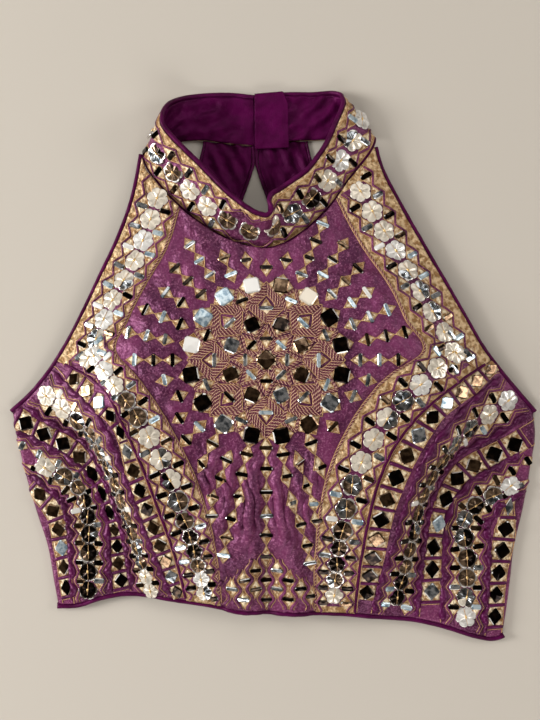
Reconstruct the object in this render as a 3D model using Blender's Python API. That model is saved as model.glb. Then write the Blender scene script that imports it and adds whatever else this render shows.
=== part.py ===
"""Halter-neck choli blouse, laid flat with its front up.

A centre front with two appliqued borders, two side fronts joined to it at the princess seams, two back
panels with a keyhole between them, a stand collar with its lining and back tab, and piping on every
free edge.  Mirror flowers and square mirrors stand proud of the front and the collar.

Lengths are millimetres until make_node writes a mesh in metres.  +X is the viewer's right when facing
the blouse, +Y points to the collar and +Z up; the table that it lies on is z = 0.
"""
import bpy
import numpy as np
from mathutils.geometry import delaunay_2d_cdt

# ---------------------------------------------------------------- driving dimensions, millimetres
MM = 0.001                  # metres in a millimetre
WALL = 2.0                  # silk, backing and lining, held together by the embroidery
LINING_WALL = 1.2
APPLIQUE_WALL = 1.0
GAP = 0.3                   # between neighbouring pieces
GRID = 14.0                 # facets of the cloth
FINE_GRID = 7.5             # facets where the lower front puffs between its stitched columns
EDGE_STEP = 11.0            # facets along a cut edge
CLEAR_SHARE = 1.12          # of a mirror's outline: facet points within it are left out, except
RAISED_SHARE = 0.8          # those within this share of its top, which lie on top of it

ROLL_RADIUS = 2.6           # the front rolls over at the side seams
ROLL_FOOT = 1.0             # straight drop below the roll, down to the table
ROLL_RUNS = (1.0, 3.0, 5.1)  # rows of facets over the roll, measured from its foot
FRONT_REST = ROLL_FOOT + ROLL_RADIUS
ROLL_LENGTH = ROLL_FOOT + ROLL_RADIUS * np.pi / 2
ROLL_SLACK = ROLL_LENGTH - ROLL_RADIUS - WALL / 2
ROLL_SHARES = (0.7, 0.35)    # of an edge's last stretch, where it is cut again to go over the roll
CORD_END_SHARE = 0.4        # of its last stretch, where an armhole cord ends short of the roll
BACK_INSET = 4.2            # from the side fold to the edge of the back

PIPING = 1.8                # radius of the corded edge
PIPING_SIDES = 8
BACK_PIPING = 1.1
BACK_PIPING_SIDES = 6

COLLAR_STEP = 9.5
COLLAR_ROWS = 4
COLLAR_HEIGHT = 38.0        # cloth of the band, below its piping
COLLAR_FLOWERS = 12
COLLAR_FIRST_FLOWER = 104.0  # along the band, from its left end at the centre back
COLLAR_FLOWER_PITCH = 19.4

FLOWER = 7.9                # radius of a mirror flower
FLOWER_LOBES = 6
FLOWER_NOTCH = 0.86         # radius between two petals, as a share of FLOWER
FLOWER_TOP = 0.80           # radius of the flower's flat top, as a share of FLOWER
FLOWER_RISE = 1.3
FLOWER_FILL = 0.47          # largest radius, as a share of the distance to the next one
SQUARE = 6.4                # half diagonal of a square mirror
SQUARE_TOP = 0.84           # half diagonal of its flat top, as a share of SQUARE
SQUARE_RISE = 0.9

STAR_CENTRE = (-6.0, 3.0)
STAR_HUB = 7.4              # half diagonal of the mirror at the middle of the star
STAR_RING_RADII = (30.0, 60.3)
STAR_RING_COUNTS = (8, 16)  # mirrors in each ring, half a step round from straight up

SIDES = {"left": -1, "right": 1}
RIM_STEP = 2.0              # spacing of the points that stand for a line when distances are measured
SLOPE_SHARES = (0.03, 0.34, 0.66, 0.97)  # rows of facets down each slope, from foot to crest


def table(columns, *rows):
    """Rows of numbers under named columns, as one array for each name."""
    return {name: np.array([row[i] for row in rows], float)
            for i, name in enumerate(columns.split())}


# Edges of the front, seen from above: x on each side at each y.
ARMHOLE = table(
    "y left right",
    (182, -105, 80), (160, -108.5, 86), (130, -115.3, 101.3), (100, -126.5, 118.5), (70, -140.7, 136),
    (40, -154.8, 153.3), (10, -171.1, 171.3), (-10, -184.6, 186.7), (-25, -197.5, 199.8), (-41, -215, 213.8))
SIDE = table(
    "y left right",
    (-41, -215, 213.8), (-55, -212.7, 215.4), (-85, -206, 211.4), (-120, -196, 205.1),
    (-150, -186.3, 198.1), (-180, -181, 194.5), (-200, -177.4, 192), (-222, -175, 188.4))
PRINCESS = table(
    "y left right",
    (2, -176.2, 176.6), (-10, -148.6, 154.9), (-20, -134.5, 139.3), (-35, -124.5, 119.8),
    (-50, -117.5, 105.5), (-75, -105.8, 89.3), (-100, -95.8, 79.8), (-150, -79.2, 70.1), (-205, -68, 65.4))
BORDER = table(             # inner edge of the gold applique, turning its corner below the armhole
    "y left right",
    (150, -71, 45), (125, -78, 56), (95, -86.8, 71.9), (60, -105.6, 94.5), (35, -117.5, 105.5),
    (8, -126, 117.5), (-8, -111, 93), (-30, -94.5, 72.3), (-60, -76.8, 54), (-100, -58.4, 39.4),
    (-140, -48.5, 34.4), (-205, -42.4, 33.9))
HEM = table(
    "x y",
    (-177, -197.5), (-161, -196.5), (-145, -191.1), (-125, -187), (-104, -187.2), (-83, -189.5),
    (-52, -194.2), (-28, -198.9), (-3, -200.1), (60, -202), (91, -205.1), (122, -209.1),
    (146, -215.3), (166, -221.6), (182, -223.9), (192, -220))

# Rise of the front over the back: nothing at the foot, the full height from the crest inwards.
RISE = table(
    "y left_foot left_crest right_crest right_foot height",
    (182, -118, -78, 62, 92, 5.0), (140, -124, -75, 70, 112, 6.0), (95, -142, -75, 70, 135, 9.0),
    (50, -166, -84, 84, 163, 18.0), (10, -186, -100, 100, 186, 25.0), (-25, -200, -115, 115, 202, 27.5),
    (-42, -186, -124, 124, 188, 28.5), (-60, -163, -128, 130, 165, 29.0), (-85, -150, -115, 112, 147, 29.5),
    (-115, -139, -104, 96, 131, 28.5), (-145, -128, -93, 91, 126, 22.0), (-175, -120, -84, 84, 120, 12.5),
    (-200, -118, -72, 72, 118, 6.0), (-226, -118, -72, 72, 118, 5.0))
CUSHION = 2.0               # soft fullness of the strips beside the side seams
CUSHION_WIDTH = 28.0
EDGE_LIFT = 1.6             # of the upper armhole edges, above where they would lie flat

# Stitched columns of the lower front, which hold the silk down between its puffs.
COLUMNS = table(
    "y a b c d e f g",
    (-60, -54, -38, -22, -6, 7, 21, 36), (-90, -62, -43, -27, -6, 11, 25, 41),
    (-125, -68, -49, -34, -6, 20, 33, 48), (-165, -76, -58, -41, -6, 30, 46, 62),
    (-210, -84, -66, -50, -5, 38, 54, 72))
PUFF = 3.0
PUFF_FROM, PUFF_FULL = -58.0, -95.0
PUFF_EDGE = 9.0             # width over which the puffs die out beside a border

# Mirror rows: the number of a mirror in its row, and where it lies.  The others follow smoothly.
FLOWER_ROWS = {
    ("armhole", "left"): table("number x y", (0, -94, 134), (3, -112, 83), (5, -129, 51), (8, -148, 4)),
    ("armhole", "right"): table("number x y", (0, 70, 139), (3, 98, 91), (5, 117, 58), (8, 145, 8)),
    ("princess", "left"): table("number x y", (0, -134, -6), (3, -107, -42), (6, -81, -91), (8, -70, -123),
                                (10, -63, -148), (13, -56, -184)),
    ("princess", "right"): table("number x y", (0, 129, -4), (3, 89, -43), (6, 61, -95), (8, 54, -131),
                                 (10, 50, -159), (12, 48.5, -186)),
    ("slope", "left"): table("number x y", (0, -185, -26), (3, -146, -57), (6, -126, -96), (9, -113, -136),
                             (12, -103, -172)),
    ("slope", "right"): table("number x y", (0, 191, -30), (3, 144, -64), (6, 119, -105), (9, 109, -150),
                              (12, 100, -190)),
    ("side", "left"): table("number x y", (0, -203, -78), (3, -160, -101), (5, -152, -125), (8, -152, -170)),
    ("side", "right"): table("number x y", (0, 194, -100), (3, 156, -127), (5, 158, -159), (8, 157, -207)),
}
SQUARE_ROWS = {
    ("inner", "left"): table("number x y", (0, -160, -13), (3, -128, -41), (7, -105, -99), (10, -90, -143),
                             (12, -82, -170)),
    ("inner", "right"): table("number x y", (0, 163, -14), (3, 124, -42), (7, 89, -106), (10, 79, -154),
                              (12, 75, -184)),
    ("middle", "left"): table("number x y", (0, -203, -49), (3, -159, -76), (6, -133, -121), (9, -127, -163)),
    ("middle", "right"): table("number x y", (0, 197, -66), (3, 150, -94), (6, 131, -150), (8, 129, -186)),
    ("outer", "left"): table("number x y", (0, -192, -107), (1, -181, -120), (3, -174, -151),
                             (5, -170, -183)),
    ("outer", "right"): table("number x y", (0, 190, -135), (2, 184, -171), (4, 181, -207)),
}

# Collar band, from its left end at the centre back, round the neck and back under the tab: the lower
# edge and the upper edge of the face between the band and its lining.
COLLAR = table(
    "bx by bz tx ty tz",
    (-15, 179.5, 2.3, -16, 217.5, 2.3), (-38, 181.5, 2.3, -38, 219.5, 2.3), (-58, 184, 2.3, -62, 218, 4),
    (-75, 183, 2.3, -77, 212.5, 13), (-90, 180, 2.6, -85.5, 205, 23), (-101, 176.5, 3, -89, 196, 30),
    (-105.5, 170.5, 4, -88.5, 188.5, 32), (-103.5, 162, 5.5, -83, 180.5, 32.5), (-96, 151, 6.8, -73, 170, 32),
    (-86, 139, 7.6, -61, 158.5, 31), (-73, 126, 8, -49, 146, 31), (-59, 115, 8.5, -39, 136, 32),
    (-44, 106, 9, -30, 128.5, 33), (-29, 99.5, 9.5, -20.5, 121.5, 33.5), (-18, 96.5, 10, -11.5, 117, 34),
    (-11, 95.5, 10, -5, 116.5, 34), (-6, 95, 10, -2, 121, 33), (-2, 95, 10, -3.5, 126.5, 31.5),
    (3, 96, 10, -2, 132, 30), (12, 100, 10, 5, 137, 29), (24, 108, 10, 15, 144, 28),
    (35, 118, 9.8, 26, 152, 26.5), (47, 131, 9.5, 35, 163, 25), (57, 145.5, 9, 43, 175.5, 23),
    (68, 159, 8.8, 50, 191, 19), (75.5, 168.5, 8.6, 55, 202.5, 17), (80.5, 176.5, 8, 57.5, 210.5, 14),
    (82, 183.5, 5.4, 56, 217, 9.5), (75, 186.5, 2.8, 50, 220, 5), (60, 185.5, 2.3, 41, 220.5, 2.8),
    (44, 184.5, 2.3, 33, 220, 2.3), (16, 183.5, 2.3, 14, 220, 2.3), (-12.5, 181, 2.3, -13.5, 218.5, 2.3))
NECK_FROM, NECK_TO = 6, 26  # the rows between which the collar is sewn to the front
TAB = table(                # corners of the underside of the tab, from its lower left round
    "x y z",
    (-12.4, 178, 3.95), (12.6, 178.5, 3.95), (11.6, 213, 4.1), (7.6, 223.5, 4.1), (-12.4, 217, 4.1),
    (-12.4, 210, 4.1))

# Back panels: outer edges, and the half width of the keyhole about the centre line.
BACK_ARMHOLE = table(
    "y left right",
    (181, -56, 26), (165, -60, 30), (130, -73, 50), (90, -97, 82), (50, -127, 118), (10, -160, 156),
    (-20, -187, 186), (-40, -206, 205))
KEYHOLE = table(
    "y half",
    (165, 0), (152, 4), (138, 9), (115, 16), (95, 19.5), (78, 18), (66, 11), (60, 0))
BACK_CENTRE = table("y x", (185, -15.5), (60, -15.5), (-210, -7))
FLAT_COLLAR = 2.5           # the collar lies flat where its lower edge is below this height
BACK_HEM_RISE = 7.0         # the hem of the back lies this much above the hem of the front

PLUM_SATIN = (0.075, 0.004, 0.045)
PLUM_SILK = (0.150, 0.040, 0.125)
GOLD_TISSUE = (0.520, 0.310, 0.130)


# ---------------------------------------------------------------- lines and outlines
def smooth(knots, values):
    """A smooth line through values at the knots: cubic pieces, with slopes taken from their neighbours."""
    knots = np.asarray(knots, float)
    values = np.asarray(values, float)
    if knots[0] > knots[-1]:
        knots, values = knots[::-1], values[::-1]
    slopes = np.gradient(values, knots, axis=0)

    def line(t):
        t = np.clip(np.asarray(t, float), knots[0], knots[-1])
        i = np.clip(np.searchsorted(knots, t) - 1, 0, len(knots) - 2)
        h = knots[i + 1] - knots[i]
        s = (t - knots[i]) / h
        if values.ndim > 1:
            s, h = s[..., None], h[..., None]
        return ((1 + 2 * s) * (1 - s) ** 2 * values[i] + s * (1 - s) ** 2 * h * slopes[i]
                + s ** 2 * (3 - 2 * s) * values[i + 1] - s ** 2 * (1 - s) * h * slopes[i + 1])
    return line


def ease(t):
    """0 to 1, starting and ending level."""
    t = np.clip(t, 0.0, 1.0)
    return t * t * (3 - 2 * t)


def arc_lengths(points):
    """Distance along a line of points, at each point."""
    return np.r_[0.0, np.cumsum(np.linalg.norm(np.diff(points, axis=0), axis=1))]


def resample(points, step):
    """The same line with its points an equal distance apart, close to step; both ends stay."""
    along = arc_lengths(points)
    count = max(1, round(along[-1] / step))
    marks = np.linspace(0, along[-1], count + 1)
    return np.column_stack([np.interp(marks, along, points[:, i]) for i in range(points.shape[1])])


def rim(polygon):
    """Points all round a closed outline, RIM_STEP apart."""
    return resample(np.vstack([polygon, polygon[:1]]), RIM_STEP)


def edge(rows, side, top, bottom, step=EDGE_STEP):
    """The part of a left or right edge between two heights, from the top down."""
    y = np.linspace(top, bottom, 200)
    return resample(np.column_stack([smooth(rows["y"], rows[side])(y), y]), step)


def across(points):
    """Unit directions in the plane, at right angles to a line and to its right."""
    run = np.gradient(points[:, :2], axis=0)
    run /= np.linalg.norm(run, axis=1)[:, None]
    return np.column_stack([run[:, 1], -run[:, 0]])


def join(*lines):
    """Lines end to end as one, each joining point kept once."""
    return np.vstack([lines[0]] + [line[1:] for line in lines[1:]])


def inside(points, polygon):
    """Which points lie inside a polygon: those whose ray to the right crosses it an odd number of times."""
    x, y = points[:, 0][:, None], points[:, 1][:, None]
    a, b = polygon, np.roll(polygon, -1, axis=0)
    spans = (a[:, 1] > y) != (b[:, 1] > y)
    with np.errstate(divide="ignore", invalid="ignore"):
        crossing = a[:, 0] + (y - a[:, 1]) / (b[:, 1] - a[:, 1]) * (b[:, 0] - a[:, 0])
    return (spans & (x < crossing)).sum(axis=1) % 2 == 1


def clear_of(points, others, distance):
    """The points that are further than distance from all the others."""
    if len(points) == 0 or len(others) == 0:
        return points
    near = np.linalg.norm(points[:, None] - np.asarray(others)[None], axis=2).min(axis=1)
    return points[near > distance]


# ---------------------------------------------------------------- surface of the front
def column_puffs(x, y):
    """Height of the puffs of silk between stitched columns: a squared sine from column to column, eased
    to nothing at the borders, which lie smooth."""
    lines = np.stack([smooth(COLUMNS["y"], COLUMNS[name])(y) for name in "abcdefg"])
    height = np.zeros_like(x)
    for left, right in zip(lines[:-1], lines[1:]):
        share = np.clip((x - left) / (right - left), 0, 1)
        height += np.sin(np.pi * share) ** 2 * np.clip((right - left) / 20.0, 0.5, 1.4)
    from_left = x - smooth(BORDER["y"], BORDER["left"])(y)
    from_right = smooth(BORDER["y"], BORDER["right"])(y) - x
    free = ease(from_left / PUFF_EDGE) * ease(from_right / PUFF_EDGE)
    return PUFF * height * free * ease((y - PUFF_FROM) / (PUFF_FULL - PUFF_FROM))


def front_rise(x, y):
    """Height of the front above where it would lie flat: eased from foot to crest on both sides, with
    puffs between the stitched columns and a slight fullness inside the side folds."""
    at = {name: smooth(RISE["y"], RISE[name])(y) for name in RISE if name != "y"}
    left = ease((x - at["left_foot"]) / (at["left_crest"] - at["left_foot"]))
    right = ease((at["right_foot"] - x) / (at["right_foot"] - at["right_crest"]))
    body = at["height"] * left * right
    fold_left = smooth(SIDE["y"], SIDE["left"])(y)
    fold_right = smooth(SIDE["y"], SIDE["right"])(y)
    room = np.minimum(x - fold_left, fold_right - x) - WALL / 2 - ROLL_RADIUS
    cushion = CUSHION * ease(room / CUSHION_WIDTH)
    lift = EDGE_LIFT * ease(y / 50.0)
    return body + cushion + lift + column_puffs(x, y)


def front_sheet(points):
    """Middle of the front cloth before its side edges are rolled: FRONT_REST plus its rise."""
    return np.column_stack([points, FRONT_REST + front_rise(*points.T)])


def front_surface(points):
    """Middle of the front cloth: the sheet, which near each side fold turns down over a quarter circle
    of ROLL_RADIUS and drops straight to the table."""
    u, v = points.T
    x, _, z = front_sheet(points).T
    for side, sign in SIDES.items():
        fold = smooth(SIDE["y"], SIDE[side])(v)
        run = np.clip((fold - u) * sign + ROLL_SLACK, 0, None)
        turn = np.clip(run - ROLL_FOOT, 0, None) / ROLL_RADIUS
        rolled = run < ROLL_LENGTH
        inward = WALL / 2 + ROLL_RADIUS * (1 - np.cos(turn))
        x = np.where(rolled, fold - sign * inward, x)
        drop = np.where(run < ROLL_FOOT, run, ROLL_FOOT + ROLL_RADIUS * np.sin(turn)) - FRONT_REST
        z = z + np.where(rolled, drop, 0)
    return np.column_stack([x, v, z])


def normals(surface, points, nudge=0.4):
    """Unit normals of a surface, from how it changes over a small nudge each way."""
    du, dv = np.array([nudge, 0]), np.array([0, nudge])
    n = np.cross(surface(points + du) - surface(points - du), surface(points + dv) - surface(points - dv))
    return n / np.linalg.norm(n, axis=1)[:, None]


# ---------------------------------------------------------------- facets
def grid_points(polygon, keep_clear, fine=None):
    """Staggered points inside a polygon, GRID apart, and FINE_GRID apart in x where fine(points) holds."""
    def lattice(dx, dy):
        low, high = polygon.min(axis=0), polygon.max(axis=0)
        rows, columns = np.arange(low[1], high[1], dy), np.arange(low[0], high[0] + dx, dx)
        i, j = np.meshgrid(np.arange(len(columns)), np.arange(len(rows)))
        x = columns[i] + dx / 2 * (j % 2) + 0.4 * np.sin(2.1 * i + 1.3 * j)
        return np.column_stack([x.ravel(), (rows[j] + 0.4 * np.sin(1.7 * i)).ravel()])
    points = lattice(GRID, GRID * 0.87)
    if fine is not None:
        small = lattice(FINE_GRID, GRID * 0.75)
        points = np.vstack([points[~fine(points)], small[fine(small)]])
    points = points[inside(points, polygon)]
    points = clear_of(points, rim(polygon), FINE_GRID * 0.55)
    return clear_of(points, keep_clear, FINE_GRID * 0.6)


def facets(polygon, points, lines=(), features=()):
    """Triangles that fill a polygon and keep its outline, the lines and the outlines of the features.

    A feature is (outer ring, inner ring, rise).  Returns the flat points, the triangles and each point's
    rise: the inner rings have theirs, all else has none."""
    verts, edges, rises = [], [], []

    def add(chain, closed, rise=0.0):
        first, count = len(verts), len(chain)
        verts.extend(chain)
        rises.extend([rise] * count)
        last = count if closed else count - 1
        edges.extend((first + i, first + (i + 1) % count) for i in range(last))

    add(polygon, closed=True)
    for line in lines:
        add(line, closed=False)
    for outer, inner, rise in features:
        add(outer, closed=True)
        add(inner, closed=True, rise=rise)
        middle = outer.mean(axis=0)
        raised = inside(points, middle + RAISED_SHARE * (inner - middle))
        verts.extend(points[raised])
        rises.extend([rise] * int(raised.sum()))
        points = points[~inside(points, middle + CLEAR_SHARE * (outer - middle))]
    verts.extend(points)
    rises.extend([0.0] * len(points))
    flat, _, tris, origin, _, _ = delaunay_2d_cdt([tuple(v) for v in verts], edges, [], 0, 1e-5)
    flat = np.array([tuple(v) for v in flat])
    tris = np.array([tuple(t) for t in tris])
    rise = np.array([max((rises[i] for i in o), default=0.0) for o in origin])
    tris = tris[inside(flat[tris].mean(axis=1), polygon)]
    a, b, c = flat[tris[:, 0]], flat[tris[:, 1]], flat[tris[:, 2]]
    doubled = (b[:, 0] - a[:, 0]) * (c[:, 1] - a[:, 1]) - (b[:, 1] - a[:, 1]) * (c[:, 0] - a[:, 0])
    tris[doubled < 0] = tris[doubled < 0][:, ::-1]
    used, tris = np.unique(tris[np.abs(doubled) > 1e-4], return_inverse=True)
    return flat[used], tris.reshape(-1, 3), rise[used]


def on_facets(points, flat, tris, values):
    """Values at points, read straight off the facets that hold them."""
    a, b, c = (flat[tris[:, i]] for i in range(3))
    area = (b[:, 0] - a[:, 0]) * (c[:, 1] - a[:, 1]) - (b[:, 1] - a[:, 1]) * (c[:, 0] - a[:, 0])
    px, py = points[:, 0][:, None], points[:, 1][:, None]
    share_b = ((px - a[:, 0]) * (c[:, 1] - a[:, 1]) - (py - a[:, 1]) * (c[:, 0] - a[:, 0])) / area
    share_c = ((b[:, 0] - a[:, 0]) * (py - a[:, 1]) - (b[:, 1] - a[:, 1]) * (px - a[:, 0])) / area
    shares = np.stack([1 - share_b - share_c, share_b, share_c], axis=2)
    best = shares.min(axis=2).argmax(axis=1)
    share = shares[np.arange(len(points)), best]
    return np.einsum("ij,ijk->ik", share, values[tris[best]])


def boundary(tris):
    """Edges that belong to one triangle only, in that triangle's direction."""
    pairs = np.vstack([tris[:, [0, 1]], tris[:, [1, 2]], tris[:, [2, 0]]])
    known = {tuple(pair) for pair in pairs}
    return [pair for pair in pairs if (pair[1], pair[0]) not in known]


def cloth(polygon, surface, points, low, high, lines=(), features=()):
    """A closed wall on a surface: plain facets at low along the normal, and facets that hold the
    features at high.  Every outer point is made from the plain facets, so the two never cross."""
    flat, tris, _ = facets(polygon, points, lines)
    middle, normal = surface(flat), normals(surface, flat)
    top_flat, top_tris, rise = facets(polygon, points, lines, features)
    top_middle = on_facets(top_flat, flat, tris, middle)
    top_normal = on_facets(top_flat, flat, tris, normal)
    top = top_middle + top_normal * (high + rise)[:, None]
    verts = np.vstack([top, middle + normal * low])
    faces = [tuple(t) for t in top_tris] + [tuple(t[::-1] + len(top)) for t in tris]
    for a, b in boundary(top_tris):
        below = [len(top) + np.linalg.norm(flat - top_flat[i], axis=1).argmin() for i in (a, b)]
        faces += [(b, a, below[0]), (b, below[0], below[1])]
    return verts, faces


def tube(path, radius, sides):
    """A round cord along a path, closed at both ends.  Each ring stands square to the path, and its first
    spoke is the one before it, carried on with no twist."""
    path = np.asarray(path, float)
    run = np.gradient(path, axis=0)
    run /= np.linalg.norm(run, axis=1)[:, None]
    spoke = np.cross(run[0], (0, 0, 1.0) if abs(run[0][2]) < 0.9 else (1.0, 0, 0))
    rings = []
    for at, ahead in zip(path, run):
        spoke = spoke - ahead * spoke.dot(ahead)
        spoke /= np.linalg.norm(spoke)
        turn = np.linspace(0, 2 * np.pi, sides, endpoint=False)[:, None] + np.pi / sides
        rings.append(at + radius * (np.cos(turn) * spoke + np.sin(turn) * np.cross(ahead, spoke)))
    verts = np.vstack(rings)
    faces = [tuple(range(sides))[::-1], tuple(range(len(verts) - sides, len(verts)))]
    for i in range(len(path) - 1):
        for j in range(sides):
            a, b = i * sides + j, i * sides + (j + 1) % sides
            faces.append((a, b, b + sides, a + sides))
    return verts, faces


def edge_cord(surface, line, radius, low=0.0):
    """Path of a cord sewn along an edge of a surface: beside the edge, GAP clear of it, to the right of
    the line's direction, and never lower than its own radius above low."""
    middle, normal = surface(line), normals(surface, line)
    run = np.gradient(middle, axis=0)
    out = np.cross(run, normal)
    out /= np.linalg.norm(out, axis=1)[:, None]
    path = middle + out * (radius / np.cos(np.pi / PIPING_SIDES) + GAP)
    path[:, 2] = np.maximum(path[:, 2], low + radius)
    return path


# ---------------------------------------------------------------- mirrors
def footprint(surface, centre, ring):
    """A ring drawn on the cloth round a centre, as flat points: sizes along the cloth stay true."""
    centre = np.asarray(centre, float)
    step = 0.5
    du = (surface(centre[None] + (step, 0)) - surface(centre[None] - (step, 0)))[0] / (2 * step)
    dv = (surface(centre[None] + (0, step)) - surface(centre[None] - (0, step)))[0] / (2 * step)
    first = du / np.linalg.norm(du)
    second = dv - first * dv.dot(first)
    second /= np.linalg.norm(second)
    spot = ring[:, :1] * first + ring[:, 1:] * second
    return centre + np.linalg.lstsq(np.column_stack([du, dv]), spot.T, rcond=None)[0].T


def mirror_flower(surface, centre, radius=FLOWER, turn=0.0):
    """A flower: an outline of lobes and notches, and a raised top that is a plain polygon."""
    angles = turn + np.linspace(0, 2 * np.pi, 2 * FLOWER_LOBES, endpoint=False)
    reach = radius * np.where(np.arange(2 * FLOWER_LOBES) % 2 == 0, 1.0, FLOWER_NOTCH)
    outer = np.column_stack([np.cos(angles), np.sin(angles)]) * reach[:, None]
    inner = outer[::2] * FLOWER_TOP
    return footprint(surface, centre, outer), footprint(surface, centre, inner), FLOWER_RISE


def mirror_square(surface, centre, half=SQUARE, turn=0.0):
    """A square mirror with bevelled edges; turn is the direction of one corner."""
    angles = turn + np.arange(4) * np.pi / 2
    outer = np.column_stack([np.cos(angles), np.sin(angles)]) * half
    return footprint(surface, centre, outer), footprint(surface, centre, outer * SQUARE_TOP), SQUARE_RISE


def row_mirrors(surface, rows, make, largest):
    """The mirrors of one row: one at each whole number, no larger than the room to its neighbours."""
    at = smooth(rows["number"], np.column_stack([rows["x"], rows["y"]]))
    centres = at(np.arange(int(rows["number"][-1]) + 1))
    run = np.gradient(centres, axis=0)
    pitch = np.linalg.norm(np.gradient(surface(centres), axis=0), axis=1)
    for centre, ahead, room in zip(centres, run, pitch):
        yield make(surface, centre, min(largest, FLOWER_FILL * room), np.arctan2(ahead[1], ahead[0]))


def star_mirrors(surface):
    """The star's hub and its two rings of square mirrors, each turned with a corner outwards."""
    centre = np.array(STAR_CENTRE)
    yield mirror_square(surface, centre, STAR_HUB, np.pi / 2)
    for radius, count in zip(STAR_RING_RADII, STAR_RING_COUNTS):
        for i in range(count):
            angle = np.pi / 2 + (i + 0.5) * 2 * np.pi / count
            spot = centre + radius * np.array([np.cos(angle), np.sin(angle)])
            yield mirror_square(surface, spot, SQUARE, angle)


def fitting(features, polygon, margin=1.0):
    """The features that lie inside a polygon, at least margin from its outline."""
    kept = []
    for outer, inner, rise in features:
        if inside(outer, polygon).all() and len(clear_of(outer, rim(polygon), margin)) == len(outer):
            kept.append((outer, inner, rise))
    return kept


# ---------------------------------------------------------------- nodes
def make_node(name, mesh, colour, roughness, metallic=0.0):
    """A named object with its own material, from points in millimetres and faces."""
    verts, faces = mesh
    data = bpy.data.meshes.new(name)
    data.from_pydata((np.asarray(verts) * MM).tolist(), [], [tuple(int(i) for i in f) for f in faces])
    data.validate()
    material = bpy.data.materials.new(name)
    material.use_nodes = True
    shader = material.node_tree.nodes["Principled BSDF"]
    shader.inputs["Base Color"].default_value = (*colour, 1.0)
    shader.inputs["Roughness"].default_value = roughness
    shader.inputs["Metallic"].default_value = metallic
    data.materials.append(material)
    node = bpy.data.objects.new(name, data)
    bpy.context.collection.objects.link(node)
    return node


# ---------------------------------------------------------------- collar
def collar_lines():
    """The band's lower and upper edge as smooth lines over the length along its middle."""
    low = np.column_stack([COLLAR["bx"], COLLAR["by"], COLLAR["bz"]])
    high = np.column_stack([COLLAR["tx"], COLLAR["ty"], COLLAR["tz"]])
    along = arc_lengths((low + high) / 2)
    return smooth(along, low), smooth(along, high), along


COLLAR_LOW, COLLAR_HIGH, COLLAR_ALONG = collar_lines()


def collar_surface(points):
    """Face between the band and its lining: straight up the band from its lower to its upper edge."""
    s, h = points.T
    share = (h / COLLAR_HEIGHT)[:, None]
    return COLLAR_LOW(s) * (1 - share) + COLLAR_HIGH(s) * share


def collar_outline():
    """The band laid straight: its length by its height, with corners and edge points."""
    s = np.linspace(0, COLLAR_ALONG[-1], round(COLLAR_ALONG[-1] / COLLAR_STEP) + 1)
    h = np.linspace(0, COLLAR_HEIGHT, COLLAR_ROWS + 1)
    bottom = np.column_stack([s, np.zeros_like(s)])
    top = bottom[::-1] + (0, COLLAR_HEIGHT)
    right = np.column_stack([np.full(len(h), s[-1]), h])
    left = np.column_stack([np.zeros(len(h)), h[::-1]])
    inner = np.array([(a + 0.3 * np.sin(3 * b), b) for a in s[1:-1] for b in h[1:-1]])
    return join(bottom, right, top, left)[:-1], inner


def build_collar():
    """The band with its mirror flowers, its lining, its piping and the tab at the centre back."""
    outline, inner = collar_outline()
    marks = COLLAR_FIRST_FLOWER + COLLAR_FLOWER_PITCH * np.arange(COLLAR_FLOWERS)
    flowers = [mirror_flower(collar_surface, (s, COLLAR_HEIGHT / 2), FLOWER, 0.0) for s in marks]
    seat = GAP / 2
    band = cloth(outline, collar_surface, inner, seat, seat + WALL, features=flowers)
    lining = cloth(outline, collar_surface, inner, -seat - LINING_WALL, -seat)
    make_node("collar", band, GOLD_TISSUE, 0.45)
    make_node("collar_lining", lining, PLUM_SATIN, 0.5)
    path = edge_cord(collar_surface, outline[outline[:, 1] == COLLAR_HEIGHT], PIPING)
    make_node("collar_piping", tube(path, PIPING, PIPING_SIDES), PLUM_SATIN, 0.45)
    build_tab()


def build_tab():
    """The tab: a flat strip of the lining cloth from the left end of the collar over its right end."""
    corners = np.column_stack([TAB["x"], TAB["y"], TAB["z"]])
    top = corners + (0, 0, WALL)
    count = len(corners)
    faces = [tuple(range(count))[::-1], tuple(range(count, 2 * count))]
    faces += [(i, (i + 1) % count, (i + 1) % count + count, i + count) for i in range(count)]
    make_node("collar_tab", (np.vstack([corners, top]), faces), PLUM_SATIN, 0.5)


def neck_line():
    """Neck edge of the front, left to right: just outside the foot of the collar's outer face."""
    s = np.linspace(COLLAR_ALONG[NECK_FROM], COLLAR_ALONG[NECK_TO], 120)
    foot = np.column_stack([s, np.zeros_like(s)])
    base, normal = collar_surface(foot), normals(collar_surface, foot)
    out = across(base)
    reach = np.clip((normal[:, :2] * out).sum(axis=1), 0, None) * (GAP / 2 + WALL)
    return resample(base[:, :2] + out * (reach + GAP + 0.1)[:, None], EDGE_STEP * 0.9)


# ---------------------------------------------------------------- front
def where_hem_meets(rows, side):
    """Height at which an edge runs into the hem: from edge to hem and back again until it holds still."""
    y = HEM["y"].mean()
    for _ in range(30):
        y = float(smooth(HEM["x"], HEM["y"])(smooth(rows["y"], rows[side])(y)))
    return y


def hem_line(start, end):
    """The hem between two x, from left to right."""
    x = np.linspace(start, end, 200)
    return resample(np.column_stack([x, smooth(HEM["x"], HEM["y"])(x)]), EDGE_STEP)


def split_at(line, rows, side):
    """A left-to-right line cut in two where it crosses an edge."""
    beyond = line[:, 0] - smooth(rows["y"], rows[side])(line[:, 1])
    i = np.flatnonzero(np.diff(np.sign(beyond)))[0]
    share = beyond[i] / (beyond[i] - beyond[i + 1])
    point = line[i] + share * (line[i + 1] - line[i])
    first, second = line[:i + 1], line[i + 1:]
    first = first[np.linalg.norm(first - point, axis=1) > 2.0]
    second = second[np.linalg.norm(second - point, axis=1) > 2.0]
    return np.vstack([first, point]), np.vstack([point, second])


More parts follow.
